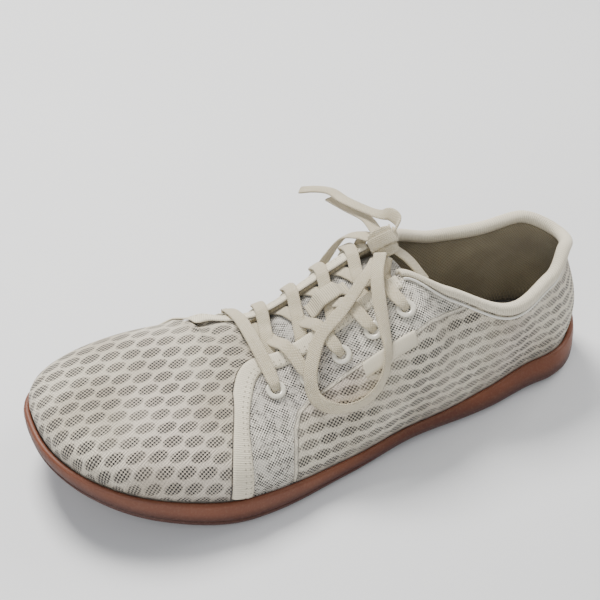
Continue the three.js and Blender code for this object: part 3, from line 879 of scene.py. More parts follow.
def along_path(points: np.ndarray, steps: int) -> tuple[np.ndarray, np.ndarray, np.ndarray]:
    """Runs a smooth line through points.

    Args:
        points: The points, in millimetres.
        steps: How many steps the line has.

    Returns:
        The line's points, its unit tangents, and each one's place among the given points.
    """
    count = len(points)
    ghost = np.vstack((2 * points[0] - points[1], points, 2 * points[-1] - points[-2]))
    out, index = [], []
    for k in range(steps + 1):
        place = k / steps * (count - 1)
        i = min(int(place), count - 2)
        t = place - i
        p = ghost[i : i + 4]
        knots = [0.0]
        for a, b in zip(p, p[1:]):
            knots.append(knots[-1] + max(float(np.linalg.norm(b - a)), 1e-6) ** 0.5)
        u = knots[1] + (knots[2] - knots[1]) * t

        def blend(a: np.ndarray, b: np.ndarray, lo: float, hi: float) -> np.ndarray:
            """Mixes two points by where the line has got to."""
            return a * (hi - u) / (hi - lo) + b * (u - lo) / (hi - lo)

        a1 = blend(p[0], p[1], knots[0], knots[1])
        a2 = blend(p[1], p[2], knots[1], knots[2])
        a3 = blend(p[2], p[3], knots[2], knots[3])
        b1 = blend(a1, a2, knots[0], knots[2])
        b2 = blend(a2, a3, knots[1], knots[3])
        out.append(blend(b1, b2, knots[1], knots[2]))
        index.append(place)
    line = np.array(out)
    way = np.gradient(line, axis=0)
    way /= np.linalg.norm(way, axis=1, keepdims=True)
    return line, way, np.array(index)


class Graph:
    """Adds nodes to a node tree and wires them."""

    def __init__(self, tree: bpy.types.NodeTree) -> None:
        """Keeps the tree."""
        self.tree = tree

    def node(self, kind: str, **settings: object) -> bpy.types.Node:
        """Adds a node and sets its properties.

        Args:
            kind: The node's type.
            settings: Its properties.

        Returns:
            The node.
        """
        made = self.tree.nodes.new(kind)
        for key, value in settings.items():
            setattr(made, key, value)
        return made

    def wire(self, value: object, socket: bpy.types.NodeSocket) -> None:
        """Links a socket, or sets a plain value.

        Args:
            value: A socket or a plain value.
            socket: Where it goes.
        """
        if isinstance(value, bpy.types.NodeSocket):
            self.tree.links.new(value, socket)
        else:
            socket.default_value = value

    def math(self, operation: str, *values: object) -> bpy.types.NodeSocket:
        """Adds a Math node and returns its result.

        Args:
            operation: What it does.
            values: Its inputs.

        Returns:
            Its result.
        """
        made = self.node("ShaderNodeMath", operation=operation)
        for value, socket in zip(values, made.inputs):
            self.wire(value, socket)
        return made.outputs[0]

    def ease(self, value: object, low: float, high: float) -> bpy.types.NodeSocket:
        """Eases from 0 at low to 1 at high.

        Args:
            value: What is eased.
            low: Where it gives 0.
            high: Where it gives 1.

        Returns:
            The eased value.
        """
        made = self.node("ShaderNodeMapRange", interpolation_type="SMOOTHSTEP")
        self.wire(value, made.inputs["Value"])
        if low > high:
            made.inputs["From Min"].default_value = high
            made.inputs["From Max"].default_value = low
            made.inputs["To Min"].default_value = 1.0
            made.inputs["To Max"].default_value = 0.0
        else:
            made.inputs["From Min"].default_value = low
            made.inputs["From Max"].default_value = high
        return made.outputs[0]

    def mix(self, share: object, a: object, b: object) -> bpy.types.NodeSocket:
        """Mixes two colours.

        Args:
            share: How much of b there is.
            a: A colour.
            b: The other colour.

        Returns:
            The mixed colour.
        """
        made = self.node("ShaderNodeMix", data_type="RGBA")
        self.wire(share, made.inputs["Factor"])
        self.wire(a, made.inputs["A"])
        self.wire(b, made.inputs["B"])
        return made.outputs["Result"]

    def noise(self, place: object, scale: float, detail: float = 2.0) -> bpy.types.NodeSocket:
        """A noise value at a place.

        Args:
            place: Where it is read.
            scale: How fine it is.
            detail: How many layers it has.

        Returns:
            The value.
        """
        made = self.node("ShaderNodeTexNoise")
        self.wire(place, made.inputs["Vector"])
        made.inputs["Scale"].default_value = scale
        made.inputs["Detail"].default_value = detail
        return made.outputs["Fac"]

    def split(self, vector: bpy.types.NodeSocket) -> tuple[bpy.types.NodeSocket, ...]:
        """The first two parts of a vector.

        Args:
            vector: The vector.

        Returns:
            Its x and y.
        """
        made = self.node("ShaderNodeSeparateXYZ")
        self.wire(vector, made.inputs[0])
        return made.outputs[0], made.outputs[1]


def hue(red: float, green: float, blue: float) -> Colour:
    """A solid colour in linear light."""
    return (red, green, blue, 1.0)


class Effects:
    """Shader groups that several finishes share."""

    @staticmethod
    def group(name: str, inputs: dict[str, float], outputs: tuple[str, ...]) -> tuple:
        """Starts a group with a Place vector and named inputs.

        Args:
            name: The group's name.
            inputs: Named values with their usual settings.
            outputs: Names of what it gives.

        Returns:
            The group, its graph, its input node and its output node.
        """
        tree = bpy.data.node_groups.new(name, "ShaderNodeTree")
        tree.interface.new_socket("Place", in_out="INPUT", socket_type="NodeSocketVector")
        for key, value in inputs.items():
            socket = tree.interface.new_socket(key, in_out="INPUT", socket_type="NodeSocketFloat")
            socket.default_value = value
        for key in outputs:
            tree.interface.new_socket(key, in_out="OUTPUT", socket_type="NodeSocketFloat")
        graph = Graph(tree)
        return tree, graph, graph.node("NodeGroupInput"), graph.node("NodeGroupOutput")

    @classmethod
    @lru_cache(maxsize=None)
    def windows(cls) -> bpy.types.NodeTree:
        """Leaning oval windows in staggered rows, each filled with small holes.

        Returns:
            The group.
        """
        tree, g, start, end = cls.group(
            "oval_windows",
            {"Pitch": 9.5, "Row": 7.0, "Shift": 0.5, "Lean": 0.5, "Hole": 1.25},
            ("Window", "Hole", "Thread"),
        )
        x, y = g.split(start.outputs["Place"])
        row = g.math("FLOOR", g.math("DIVIDE", y, start.outputs["Row"]))
        part = g.math("FRACT", g.math("DIVIDE", y, start.outputs["Row"]))
        fy = g.math("MULTIPLY", g.math("SUBTRACT", part, 0.5), start.outputs["Row"])
        slid = g.math(
            "ADD",
            g.math("DIVIDE", x, start.outputs["Pitch"]),
            g.math("MULTIPLY", row, start.outputs["Shift"]),
        )
        fx = g.math(
            "MULTIPLY", g.math("SUBTRACT", g.math("FRACT", slid), 0.5), start.outputs["Pitch"]
        )
        cos = g.math("COSINE", start.outputs["Lean"])
        sin = g.math("SINE", start.outputs["Lean"])
        a = g.math("ADD", g.math("MULTIPLY", fx, cos), g.math("MULTIPLY", fy, sin))
        b = g.math("SUBTRACT", g.math("MULTIPLY", fy, cos), g.math("MULTIPLY", fx, sin))
        a = g.math("DIVIDE", a, g.math("MULTIPLY", start.outputs["Pitch"], 0.53))
        b = g.math("DIVIDE", b, g.math("MULTIPLY", start.outputs["Row"], 0.37))
        oval = g.math("SQRT", g.math("ADD", g.math("POWER", a, 2.0), g.math("POWER", b, 2.0)))
        window = g.ease(oval, 1.16, 0.74)
        turn = g.math("DIVIDE", 2 * math.pi, start.outputs["Hole"])
        p = g.math("COSINE", g.math("MULTIPLY", g.math("ADD", x, y), turn))
        q = g.math("COSINE", g.math("MULTIPLY", g.math("SUBTRACT", x, y), turn))
        dots = g.math("MULTIPLY", g.math("ADD", p, q), 0.5)
        holes = g.ease(dots, -0.16, 0.26)
        odd = g.math("FLOORED_MODULO", row, 2.0)
        parity = g.math("SUBTRACT", g.math("MULTIPLY", odd, 2.0), 1.0)
        slope = g.math("ADD", x, g.math("MULTIPLY", parity, y))
        thread = g.math("SINE", g.math("MULTIPLY", slope, g.math("MULTIPLY", turn, 1.3)))
        g.wire(window, end.inputs["Window"])
        g.wire(holes, end.inputs["Hole"])
        g.wire(thread, end.inputs["Thread"])
        return tree

    @classmethod
    @lru_cache(maxsize=None)
    def ribs(cls) -> bpy.types.NodeTree:
        """Fine ribs across a tape or a lace, with a woven cross pattern.

        Returns:
            The group.
        """
        tree, g, start, end = cls.group("ribs", {"Pitch": 1.0, "Cross": 1.0}, ("Rib", "Weave"))
        x, y = g.split(start.outputs["Place"])
        along = g.math("DIVIDE", g.math("MULTIPLY", x, 2 * math.pi), start.outputs["Pitch"])
        across = g.math("DIVIDE", g.math("MULTIPLY", y, 2 * math.pi), start.outputs["Cross"])
        rib = g.math("SINE", along)
        weave = g.math("MULTIPLY", g.math("SINE", g.math("ADD", along, across)), 0.5)
        other = g.math("SINE", g.math("SUBTRACT", along, across))
        weave = g.math("ADD", weave, g.math("MULTIPLY", other, 0.5))
        g.wire(rib, end.inputs["Rib"])
        g.wire(weave, end.inputs["Weave"])
        return tree

    @classmethod
    @lru_cache(maxsize=None)
    def soil(cls) -> bpy.types.NodeTree:
        """Soft mottling and dust over a surface. Place is in metres.

        Returns:
            The group.
        """
        tree, g, start, end = cls.group("soil", {"Amount": 0.5}, ("Mottle", "Dust"))
        broad = g.noise(start.outputs["Place"], 38.0, 3.0)
        fine = g.noise(start.outputs["Place"], 900.0, 2.0)
        mottle = g.math("MULTIPLY", g.ease(broad, 0.3, 0.7), start.outputs["Amount"])
        dust = g.math("MULTIPLY", g.ease(fine, 0.45, 0.75), start.outputs["Amount"])
        g.wire(mottle, end.inputs["Mottle"])
        g.wire(dust, end.inputs["Dust"])
        return tree


@dataclass(frozen=True)
class Finish:
    """A material with its own nodes."""

    name: str

    def start(self) -> tuple[bpy.types.Material, Graph, bpy.types.Node]:
        """Starts the material and returns it with its graph and shader.

        Returns:
            The material, its graph and its shader.
        """
        material = bpy.data.materials.new(self.name)
        material.use_nodes = True
        g = Graph(material.node_tree)
        return material, g, material.node_tree.nodes["Principled BSDF"]

    @staticmethod
    def use(g: Graph, tree: bpy.types.NodeTree, place: object, **values: float) -> bpy.types.Node:
        """Places a shared effect with its own values.

        Args:
            g: The material's graph.
            tree: The effect.
            place: Where it is read.
            values: Its inputs.

        Returns:
            The effect's node.
        """
        made = g.node("ShaderNodeGroup")
        made.node_tree = tree
        g.wire(place, made.inputs["Place"])
        for key, value in values.items():
            g.wire(value, made.inputs[key.capitalize()])
        return made

    @staticmethod
    def chart(g: Graph, name: MapName) -> bpy.types.NodeSocket:
        """Reads one of the piece's UV maps, in millimetres."""
        return g.node("ShaderNodeUVMap", uv_map=name.value).outputs[0]

    @staticmethod
    def bump(g: Graph, shader: bpy.types.Node, height: object, deep: float) -> None:
        """Gives a shader relief of a depth in millimetres.

        Args:
            g: The material's graph.
            shader: The shader.
            height: The relief.
            deep: Its depth.
        """
        made = g.node("ShaderNodeBump")
        made.inputs["Strength"].default_value = 1.0
        made.inputs["Distance"].default_value = deep * MM
        g.wire(height, made.inputs["Height"])
        g.wire(made.outputs[0], shader.inputs["Normal"])


@dataclass(frozen=True)
class MeshFinish(Finish):
    """The knitted upper: oval windows on the vamp and quarter, fine open mesh between them."""

    thread: Colour = hue(0.8, 0.735, 0.59)
    shade: Colour = hue(0.54, 0.475, 0.36)
    blush: Colour = hue(0.74, 0.63, 0.56)
    hole: Colour = hue(0.03, 0.026, 0.022)
    low: Colour = hue(0.2, 0.17, 0.13)
    silver: Colour = hue(0.86, 0.84, 0.77)

    def make(self) -> bpy.types.Material:
        """Makes the material.

        Returns:
            The material.
        """
        m, g, shader = self.start()
        place = g.node("ShaderNodeTexCoord").outputs["Object"]
        plan, side = self.chart(g, MapName.PLAN), self.chart(g, MapName.SIDE)
        ahead, behind = g.split(self.chart(g, MapName.LIMITS))
        turned = g.node("ShaderNodeMapping")
        turned.inputs["Rotation"].default_value = (0, 0, math.radians(20))
        g.wire(plan, turned.inputs["Vector"])
        vamp = self.use(
            g, Effects.windows(), turned.outputs[0],
            pitch=9.2, row=6.9, shift=0.27, lean=0.42, hole=1.85,
        )
        rear = self.use(
            g, Effects.windows(), side, pitch=9.8, row=6.2, shift=0.5, lean=0.05, hole=1.9
        )
        fine = self.use(
            g, Effects.windows(), side, pitch=3.1, row=2.6, shift=0.41, hole=1.6
        )
        on_vamp = g.ease(ahead, -0.3, 0.3)
        on_rear = g.ease(behind, -0.25, 0.25)
        wear = g.ease(g.noise(place, 45.0, 2.0), 0.36, 0.66)
        spread = g.math("ADD", g.math("MULTIPLY", wear, 0.4), 0.6)

        def pattern(part: bpy.types.Node, base: float, deep: float) -> bpy.types.NodeSocket:
            """Holes that are dark in the windows and faint between them.

            Args:
                part: The windows' node.
                base: How dark the holes are between windows.
                deep: How dark they are inside.

            Returns:
                The holes' mask.
            """
            inside = g.math("MULTIPLY", part.outputs["Window"], deep)
            share = g.math("MAXIMUM", g.math("MULTIPLY", inside, spread), base)
            return g.math("MULTIPLY", part.outputs["Hole"], share)

        along, climb = g.split(side)
        heel = g.math("SUBTRACT", 1.0, g.math("MULTIPLY", g.ease(along, 170.0, 330.0), 0.25))
        quarter = g.math("MULTIPLY", pattern(rear, 0.16, 1.3), heel)
        front = g.math("MINIMUM", pattern(vamp, 0.2, 1.5), 1.0)
        main = g.mix(on_vamp, g.math("MINIMUM", quarter, 1.0), front)
        grey = g.ease(g.noise(place, 330.0, 3.0), 0.42, 0.6)
        stay_holes = g.math(
            "MULTIPLY", fine.outputs["Hole"], g.math("ADD", g.math("MULTIPLY", grey, 0.75), 0.4)
        )
        behind_tape = g.math("SUBTRACT", 1.0, on_vamp)
        before_seam = g.math("SUBTRACT", 1.0, on_rear)
        stay = g.math("MULTIPLY", behind_tape, before_seam)
        holes = g.node("ShaderNodeMix", data_type="FLOAT")
        g.wire(stay, holes.inputs["Factor"])
        g.wire(main, holes.inputs["A"])
        g.wire(stay_holes, holes.inputs["B"])
        mask = holes.outputs["Result"]
        tone = g.mix(g.ease(g.noise(place, 30.0, 3.0), 0.35, 0.7), self.thread, self.shade)
        flush = g.math("MULTIPLY", g.ease(g.noise(place, 17.0, 1.0), 0.5, 0.72), 0.5)
        tone = g.mix(flush, tone, self.blush)
        tone = g.mix(g.math("MULTIPLY", stay, 0.55), tone, self.silver)
        oval = g.mix(on_vamp, rear.outputs["Window"], vamp.outputs["Window"])
        oval = g.math("MULTIPLY", oval, g.math("SUBTRACT", 1.0, stay))
        tone = g.mix(g.math("MULTIPLY", oval, g.math("MULTIPLY", spread, 0.42)), tone, self.low)
        herring = g.mix(on_vamp, rear.outputs["Thread"], vamp.outputs["Thread"])
        # Painted shade in the knit's low stripes, where the bump also sinks the knit.
        tone = g.mix(g.math("MULTIPLY", g.ease(herring, 0.1, -0.8), 0.36), tone, self.shade)
        # Darker in noisy patches where the side map's height is under 9 mm, near the sole.
        near_sole_darkening = g.math("MULTIPLY", g.ease(climb, 9.0, 0.0), g.ease(g.noise(place, 90.0), 0.25, 0.7))
        tone = g.mix(g.math("MULTIPLY", near_sole_darkening, 0.55), tone, self.low)
        colour = g.mix(mask, tone, self.hole)
        # Painted shadow: a dark line along the front edge of the tape, where the bump also cuts a
        # groove.
        gap = g.ease(g.math("ABSOLUTE", g.math("SUBTRACT", ahead, 4.2)), 0.75, 0.2)
        colour = g.mix(g.math("MULTIPLY", gap, 0.7), colour, self.hole)
        off = g.math("ABSOLUTE", g.math("SUBTRACT", g.math("ABSOLUTE", behind), 0.85))
        line = g.math("MULTIPLY", g.ease(off, 0.42, 0.12), behind_tape)
        seam = g.math("MULTIPLY", g.ease(g.math("ABSOLUTE", behind), 1.3, 0.7), behind_tape)
        colour = g.mix(g.math("MULTIPLY", seam, 0.75), colour, self.thread)
        g.wire(g.mix(g.math("MULTIPLY", line, 0.6), colour, self.low), shader.inputs["Base Color"])
        knit = g.math("MULTIPLY", herring, 0.25)
        height = g.math("SUBTRACT", knit, mask)
        height = g.math("SUBTRACT", height, g.math("MULTIPLY", gap, 1.5))
        height = g.math("ADD", height, g.math("MULTIPLY", seam, 1.2))
        self.bump(g, shader, height, 0.45)
        shader.inputs["Roughness"].default_value = 0.86
        shader.inputs["Sheen Weight"].default_value = 0.25
        shader.inputs["Sheen Roughness"].default_value = 0.5
        return m


@dataclass(frozen=True)
class ClothFinish(Finish):
    """A plain knitted or brushed cloth."""

    colour: Colour
    shade: Colour
    pitch: float = 1.1
    deep: float = 0.25
    dots: float = 0.35
    chart_name: MapName | None = None

    def make(self) -> bpy.types.Material:
        """Makes the material.

        Returns:
            The material.
        """
        m, g, shader = self.start()
        place = g.node("ShaderNodeTexCoord").outputs["Object"]
        scaled = g.node("ShaderNodeMapping")
        scaled.inputs["Scale"].default_value = (1 / MM, 1 / MM, 1 / MM)
        g.wire(place, scaled.inputs["Vector"])
        spot = self.chart(g, self.chart_name) if self.chart_name else scaled.outputs[0]
        knit = self.use(g, Effects.windows(), spot, hole=self.pitch)
        soil = self.use(g, Effects.soil(), place, amount=0.6)
        tone = g.mix(soil.outputs["Mottle"], self.colour, self.shade)
        tone = g.mix(g.math("MULTIPLY", knit.outputs["Hole"], self.dots), tone, self.shade)
        g.wire(tone, shader.inputs["Base Color"])
        height = g.math("SUBTRACT", g.noise(place, 1800.0, 2.0), knit.outputs["Hole"])
        self.bump(g, shader, height, self.deep)
        shader.inputs["Roughness"].default_value = 0.93
        shader.inputs["Sheen Weight"].default_value = 0.3
        return m


@dataclass(frozen=True)
class WebbingFinish(Finish):
    """Ribbed webbing, with two rows of stitches where it is sewn down."""

    colour: Colour = hue(0.7, 0.63, 0.465)
    shade: Colour = hue(0.38, 0.325, 0.215)
    pitch: float = 1.1
    rows: tuple[float, ...] = ()
    ribbed: float = 0.4
    hole: Colour = hue(0.24, 0.2, 0.14)
    stitch: float = 2.6

    def make(self) -> bpy.types.Material:
        """Makes the material.

        Returns:
            The material.
        """
        m, g, shader = self.start()
        place = g.node("ShaderNodeTexCoord").outputs["Object"]
        chart = self.chart(g, MapName.PLAN)
        ribs = self.use(g, Effects.ribs(), chart, pitch=self.pitch, cross=0.9)
        soil = self.use(g, Effects.soil(), place, amount=0.4)
        rib = g.math("ADD", g.math("MULTIPLY", ribs.outputs["Rib"], 0.5), 0.5)
        # Painted shade in the troughs between the ribs, which the bump also sinks.
        low = g.math("MULTIPLY", g.math("SUBTRACT", 1.0, rib), self.ribbed)
        tone = g.mix(low, self.colour, self.shade)
        tone = g.mix(g.math("MULTIPLY", soil.outputs["Mottle"], 0.5), tone, self.shade)
        height = g.math("MULTIPLY", rib, 2.5 * self.ribbed)
        height = g.math("ADD", height, g.math("MULTIPLY", ribs.outputs["Weave"], 0.2))
        if self.rows:
            x, y = g.split(chart)
            dash = g.ease(g.math("FRACT", g.math("DIVIDE", x, self.stitch)), 0.22, 0.3)
            for row in self.rows:
                near = g.ease(g.math("ABSOLUTE", g.math("SUBTRACT", y, row)), 0.42, 0.2)
                hole = g.math("MULTIPLY", near, g.math("SUBTRACT", 1.0, dash))
                tone = g.mix(g.math("MULTIPLY", hole, 0.55), tone, self.hole)
                height = g.math("SUBTRACT", height, g.math("MULTIPLY", near, 2.0))
                thread = g.math("MULTIPLY", near, dash)
                height = g.math("ADD", height, g.math("MULTIPLY", thread, 2.2))
        g.wire(tone, shader.inputs["Base Color"])
        self.bump(g, shader, height, 0.16)
        shader.inputs["Roughness"].default_value = 0.74
        shader.inputs["Sheen Weight"].default_value = 0.2
        return m


@dataclass(frozen=True)
class LaceFinish(Finish):
    """A flat woven lace."""

    colour: Colour = hue(0.69, 0.61, 0.435)
    shade: Colour = hue(0.34, 0.28, 0.175)
    dust: Colour = hue(0.8, 0.77, 0.7)

    def make(self) -> bpy.types.Material:
        """Makes the material.

        Returns:
            The material.
        """
        m, g, shader = self.start()
        place = g.node("ShaderNodeTexCoord").outputs["Object"]
        chart = self.chart(g, MapName.PLAN)
        weave = self.use(g, Effects.ribs(), chart, pitch=1.0, cross=1.2)
        soil = self.use(g, Effects.soil(), place, amount=0.7)
        _, y = g.split(chart)
        # Painted shade: the lace darkens towards its rounded edges.
        rim = g.ease(g.math("ABSOLUTE", y), LACE_WIDTH * 0.36, LACE_WIDTH * 0.5)
        tone = g.mix(g.math("MULTIPLY", soil.outputs["Mottle"], 0.45), self.colour, self.shade)
        # Painted shade in the weave's low parts, which the bump also sinks.
        low = g.ease(weave.outputs["Weave"], 0.3, -0.6)
        tone = g.mix(g.math("MULTIPLY", low, 0.42), tone, self.shade)
        tone = g.mix(g.math("MULTIPLY", rim, 0.3), tone, self.shade)
        tone = g.mix(g.math("MULTIPLY", soil.outputs["Dust"], 0.3), tone, self.dust)
        g.wire(tone, shader.inputs["Base Color"])
        self.bump(g, shader, weave.outputs["Weave"], 0.16)
        shader.inputs["Roughness"].default_value = 0.82
        shader.inputs["Sheen Weight"].default_value = 0.35
        shader.inputs["Sheen Roughness"].default_value = 0.4
        return m


@dataclass(frozen=True)
class GumFinish(Finish):
    """Gum rubber: a lighter band above, and painted shade below that makes it darker and redder,
    dusty and faintly marbled.
    """

    band: Colour = hue(0.175, 0.055, 0.025)
    # The lower side's colour is painted shade, darker and redder than the band.
    low: Colour = hue(0.06, 0.018, 0.011)
    dust: Colour = hue(0.34, 0.2, 0.14)

    def make(self) -> bpy.types.Material:
        """Makes the material.

        Returns:
            The material.
        """
        m, g, shader = self.start()
        place = g.node("ShaderNodeTexCoord").outputs["Object"]
        _, height = g.split(self.chart(g, MapName.SIDE))
        soil = self.use(g, Effects.soil(), place, amount=0.8)
        # Painted shade: darker and redder below the groove, the lighter band above it.
        tone = g.mix(g.ease(height, 5.0, 11.0), self.low, self.band)
        tone = g.mix(g.math("MULTIPLY", soil.outputs["Mottle"], 0.35), tone, self.low)
        tone = g.mix(g.math("MULTIPLY", soil.outputs["Dust"], 0.12), tone, self.dust)
        g.wire(tone, shader.inputs["Base Color"])
        grain = g.noise(place, 2200.0, 3.0)
        rough = g.math("ADD", g.math("MULTIPLY", g.noise(place, 60.0, 2.0), 0.2), 0.42)
        g.wire(rough, shader.inputs["Roughness"])
        self.bump(g, shader, grain, 0.06)
        shader.inputs["Specular IOR Level"].default_value = 0.45
        return m


@dataclass(frozen=True)
class EnamelFinish(Finish):
    """Glossy ivory enamel on a pressed ring."""

    colour: Colour = hue(0.7, 0.665, 0.555)
    worn: Colour = hue(0.55, 0.52, 0.44)

    def make(self) -> bpy.types.Material:
        """Makes the material.

        Returns:
            The material.
        """
        m, g, shader = self.start()
        place = g.node("ShaderNodeTexCoord").outputs["Object"]
        soil = self.use(g, Effects.soil(), place, amount=0.5)
        tone = g.mix(g.math("MULTIPLY", soil.outputs["Mottle"], 0.3), self.colour, self.worn)
        g.wire(tone, shader.inputs["Base Color"])
        rough = g.math("ADD", g.math("MULTIPLY", soil.outputs["Dust"], 0.2), 0.2)
        g.wire(rough, shader.inputs["Roughness"])
        self.bump(g, shader, g.noise(place, 700.0, 2.0), 0.03)
        shader.inputs["Coat Weight"].default_value = 0.4
        return m


def dress(piece: bpy.types.Object, *materials: bpy.types.Material) -> None:
    """Puts materials on a piece.

    Args:
        piece: The piece.
        materials: The materials, by slot.
    """
    piece.data.materials.clear()
    for material in materials:
        piece.data.materials.append(material)


def settle(piece: bpy.types.Object, slot: str, *nodes: str) -> None:
    """Joins a piece to the shoe.

    Args:
        piece: The piece.
        slot: The material slot that it takes its finish from; not used.
        nodes: The plain solids that it stands for.
    """
    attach(piece, "root")
    if nodes:
        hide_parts(*nodes)
    log.info("%s: %d faces", piece.name, len(piece.data.polygons))


@dataclass
class Ring:
    """Sections all the way round the shoe."""

    heel: int = 24
    side: int = 96
    toe: int = 40

    def places(self) -> list[float]:
        """Places from the heel's back to the toe's tip.

        Returns:
            The places, as shares of the length.
        """
        made = set(np.linspace(0, HEEL_TURN, self.heel, endpoint=False).tolist())
        made |= set(np.linspace(HEEL_TURN, TOE_TURN, self.side, endpoint=False).tolist())
        made |= set(np.linspace(TOE_TURN, 1, self.toe + 1).tolist())
        for share in (0.0, 0.004, 0.02, 0.05, 0.1, 0.2, 0.35, 0.6, 1.0):
            made.add(THROAT_FRONT - THROAT_ROUND * share)
        made.add(THROAT_BACK)
        return sorted(made)

    def sections(self) -> list[Section]:
        """Sections round the outer side, the toe and the inner side.

        Returns:
            The sections, once round the shoe.
        """
        list_ = self.places()
        outer = [Last.section(at, 1) for at in list_]
        inner = [Last.section(at, -1) for at in reversed(list_[1:-1])]
        return outer + inner


@dataclass
class Upper:
    """The hollow mesh upper, from the sole's lip to the throat and collar."""

    rows: int = 40
    inner_rows: int = 14
    lining: Finish = field(
        default_factory=lambda: ClothFinish(
            "lining", hue(0.37, 0.315, 0.205), hue(0.17, 0.14, 0.085), 1.9, 0.2, 0.5, MapName.SIDE
        )
    )

    @staticmethod
    def signed(at: float, down: float, line: tuple[tuple[float, float], ...]) -> float:
        """Distance from a line that runs up from the sole and back along the throat.

        Args:
            at: Share of the length.
            down: Distance from the ridge line over the skin.
            line: Places on the line.

        Returns:
            The distance in millimetres, more than 0 on the toe's side and towards the ridge.
        """
        x, y = at * LENGTH, abs(down)
        best, sign = 1e9, 1.0
        for (a, av), (b, bv) in zip(line, line[1:]):
            ax, bx = a * LENGTH, b * LENGTH
            vx, vy = bx - ax, bv - av
            share = clamp(((x - ax) * vx + (y - av) * vy) / (vx * vx + vy * vy), 0, 1)
            gap = math.hypot(x - ax - share * vx, y - av - share * vy)
            if gap < best:
                best = gap
                sign = 1.0 if vx * (y - av) - vy * (x - ax) > 0 else -1.0
        return sign * best

    @staticmethod
    @lru_cache(maxsize=None)
    def tape_places(side: int) -> tuple[tuple[float, float], ...]:
        """Places on the middle line of a tape.

        Args:
            side: 1 for the outer side and -1 for the inner side.

        Returns:
            Each place's share of the length and distance down.
        """
        edge = THROAT + TAPE_WIDTH / 2
        places = []
        for at, fall in TAPES[side]:
            length = Last.arch(Last.section(at, side)).length
            places.append((at, edge + (length - edge) * fall))
        return ((places[0][0], places[0][1] + 40), *places, (0.0, edge))

    def build(self) -> bpy.types.Object:
        """Makes the upper.

        Returns:
            The upper.
        """
        ring = Ring().sections()
        out = np.linspace(0, 1, self.rows + 1)
        ins = np.linspace(1, 0, self.inner_rows + 1)
        grid, plan, side, limits = [], [], [], []
        walked = self.perimeter(ring)
        for s, run in zip(ring, walked):
            curve = Last.wall_curve(s)
            whole = Last.arch(s).length
            low = Last.lift(s, Last.reach(s)) + SEAT + CLEAR
            foot = Last.foot_of(s)
            points, maps = [s.point(foot, low)], [(0.0, -4.0)]
            spots, ways = curve.at(out), curve.way(out)
            arcs = np.interp(out, curve.shares, curve.run)
            for p, way, arc in zip(spots, ways, arcs):
                down = s.side * (whole - arc)
                deep = Creases.depth(round(s.at, 6), round(float(down), 4))
                if s.at < THROAT_BACK:
                    deep *= clamp(1 - (arc - curve.length + 6) / 6, 0, 1)
                points.append(s.point(p[0] + deep * way[1], p[1] - deep * way[0]))
                maps.append((down, arc))
            spots, ways = curve.at(ins), curve.way(ins)
            arcs = np.interp(ins, curve.shares, curve.run)
            top = curve.points[3][0] < 1e-9
            for k, (p, way, arc) in enumerate(zip(spots, ways, arcs)):
                r, z = p[0] - WALL * way[1], p[1] + WALL * way[0]
                if top and k == 0:
                    r, z = 0.0, p[1] - WALL * 1.03
                points.append(s.point(r, z))
                maps.append((s.side * (whole - arc), arc))
            points.append(s.point(foot - WALL, low))
            maps.append((0.0, -4.0))
            grid.append(points)
            downs = np.array([m[0] for m in maps])
            plan.append(
                [
                    (s.x + abs(d) * math.sin(s.angle), s.side * abs(d) * math.cos(s.angle))
                    for d in downs
                ]
            )
            side.append([(run, m[1]) for m in maps])
            tape = self.tape_places(s.side)
            limits.append(
                [(self.signed(s.at, d, tape), -self.signed(s.at, d, SEAM)) for d in downs]
            )
        surface = Surface("upper_shell", np.array(grid))
        surface.maps = {
            MapName.PLAN.value: np.array(plan),
            MapName.SIDE.value: np.array(side),
            MapName.LIMITS.value: np.array(limits),
        }
        shut = np.zeros((len(ring), len(grid[0])), dtype=bool)
        for i, s in enumerate(ring):
            after = ring[(i + 1) % len(ring)]
            shut[i, self.rows + 1] = s.at >= THROAT_FRONT and after.at >= THROAT_FRONT
        piece = surface.build(ring=True, skip=shut)
        dress(piece, MeshFinish("upper_mesh").make(), self.lining.make())
        self.line(piece)
        settle(piece, "upper_mesh", "upper")
        return piece

    @staticmethod
    def perimeter(ring: list[Section]) -> list[float]:
        """Distance round the foot from the toe's tip, for each section.

        Args:
            ring: The sections.

        Returns:
            Each section's distance.
        """
        feet = [s.point(Last.foot_of(s), 0) for s in ring]
        tip = max(range(len(ring)), key=lambda k: ring[k].at)
        run = [0.0] * len(ring)
        for step in (-1, 1):
            total, k = 0.0, tip
            while 0 <= k + step < len(ring):
                total += float(np.linalg.norm(feet[k + step] - feet[k]))
                k += step
                run[k] = total
        return run

    @staticmethod
    def line(piece: bpy.types.Object) -> None:
        """Gives the faces that look inwards the lining.

        Args:
            piece: The upper.
        """
        for face in piece.data.polygons:
            c = face.center / MM
            s_y = SPINE.read("y", clamp(c.x / LENGTH + HEEL_TURN, HEEL_TURN, TOE_TURN))
            x = clamp(c.x, 0, (TOE_TURN - HEEL_TURN) * LENGTH)
            inward = Vector((x - c.x, s_y - c.y, 24.0 - c.z))
            face.material_index = 1 if face.normal.dot(inward) > 0 else 0


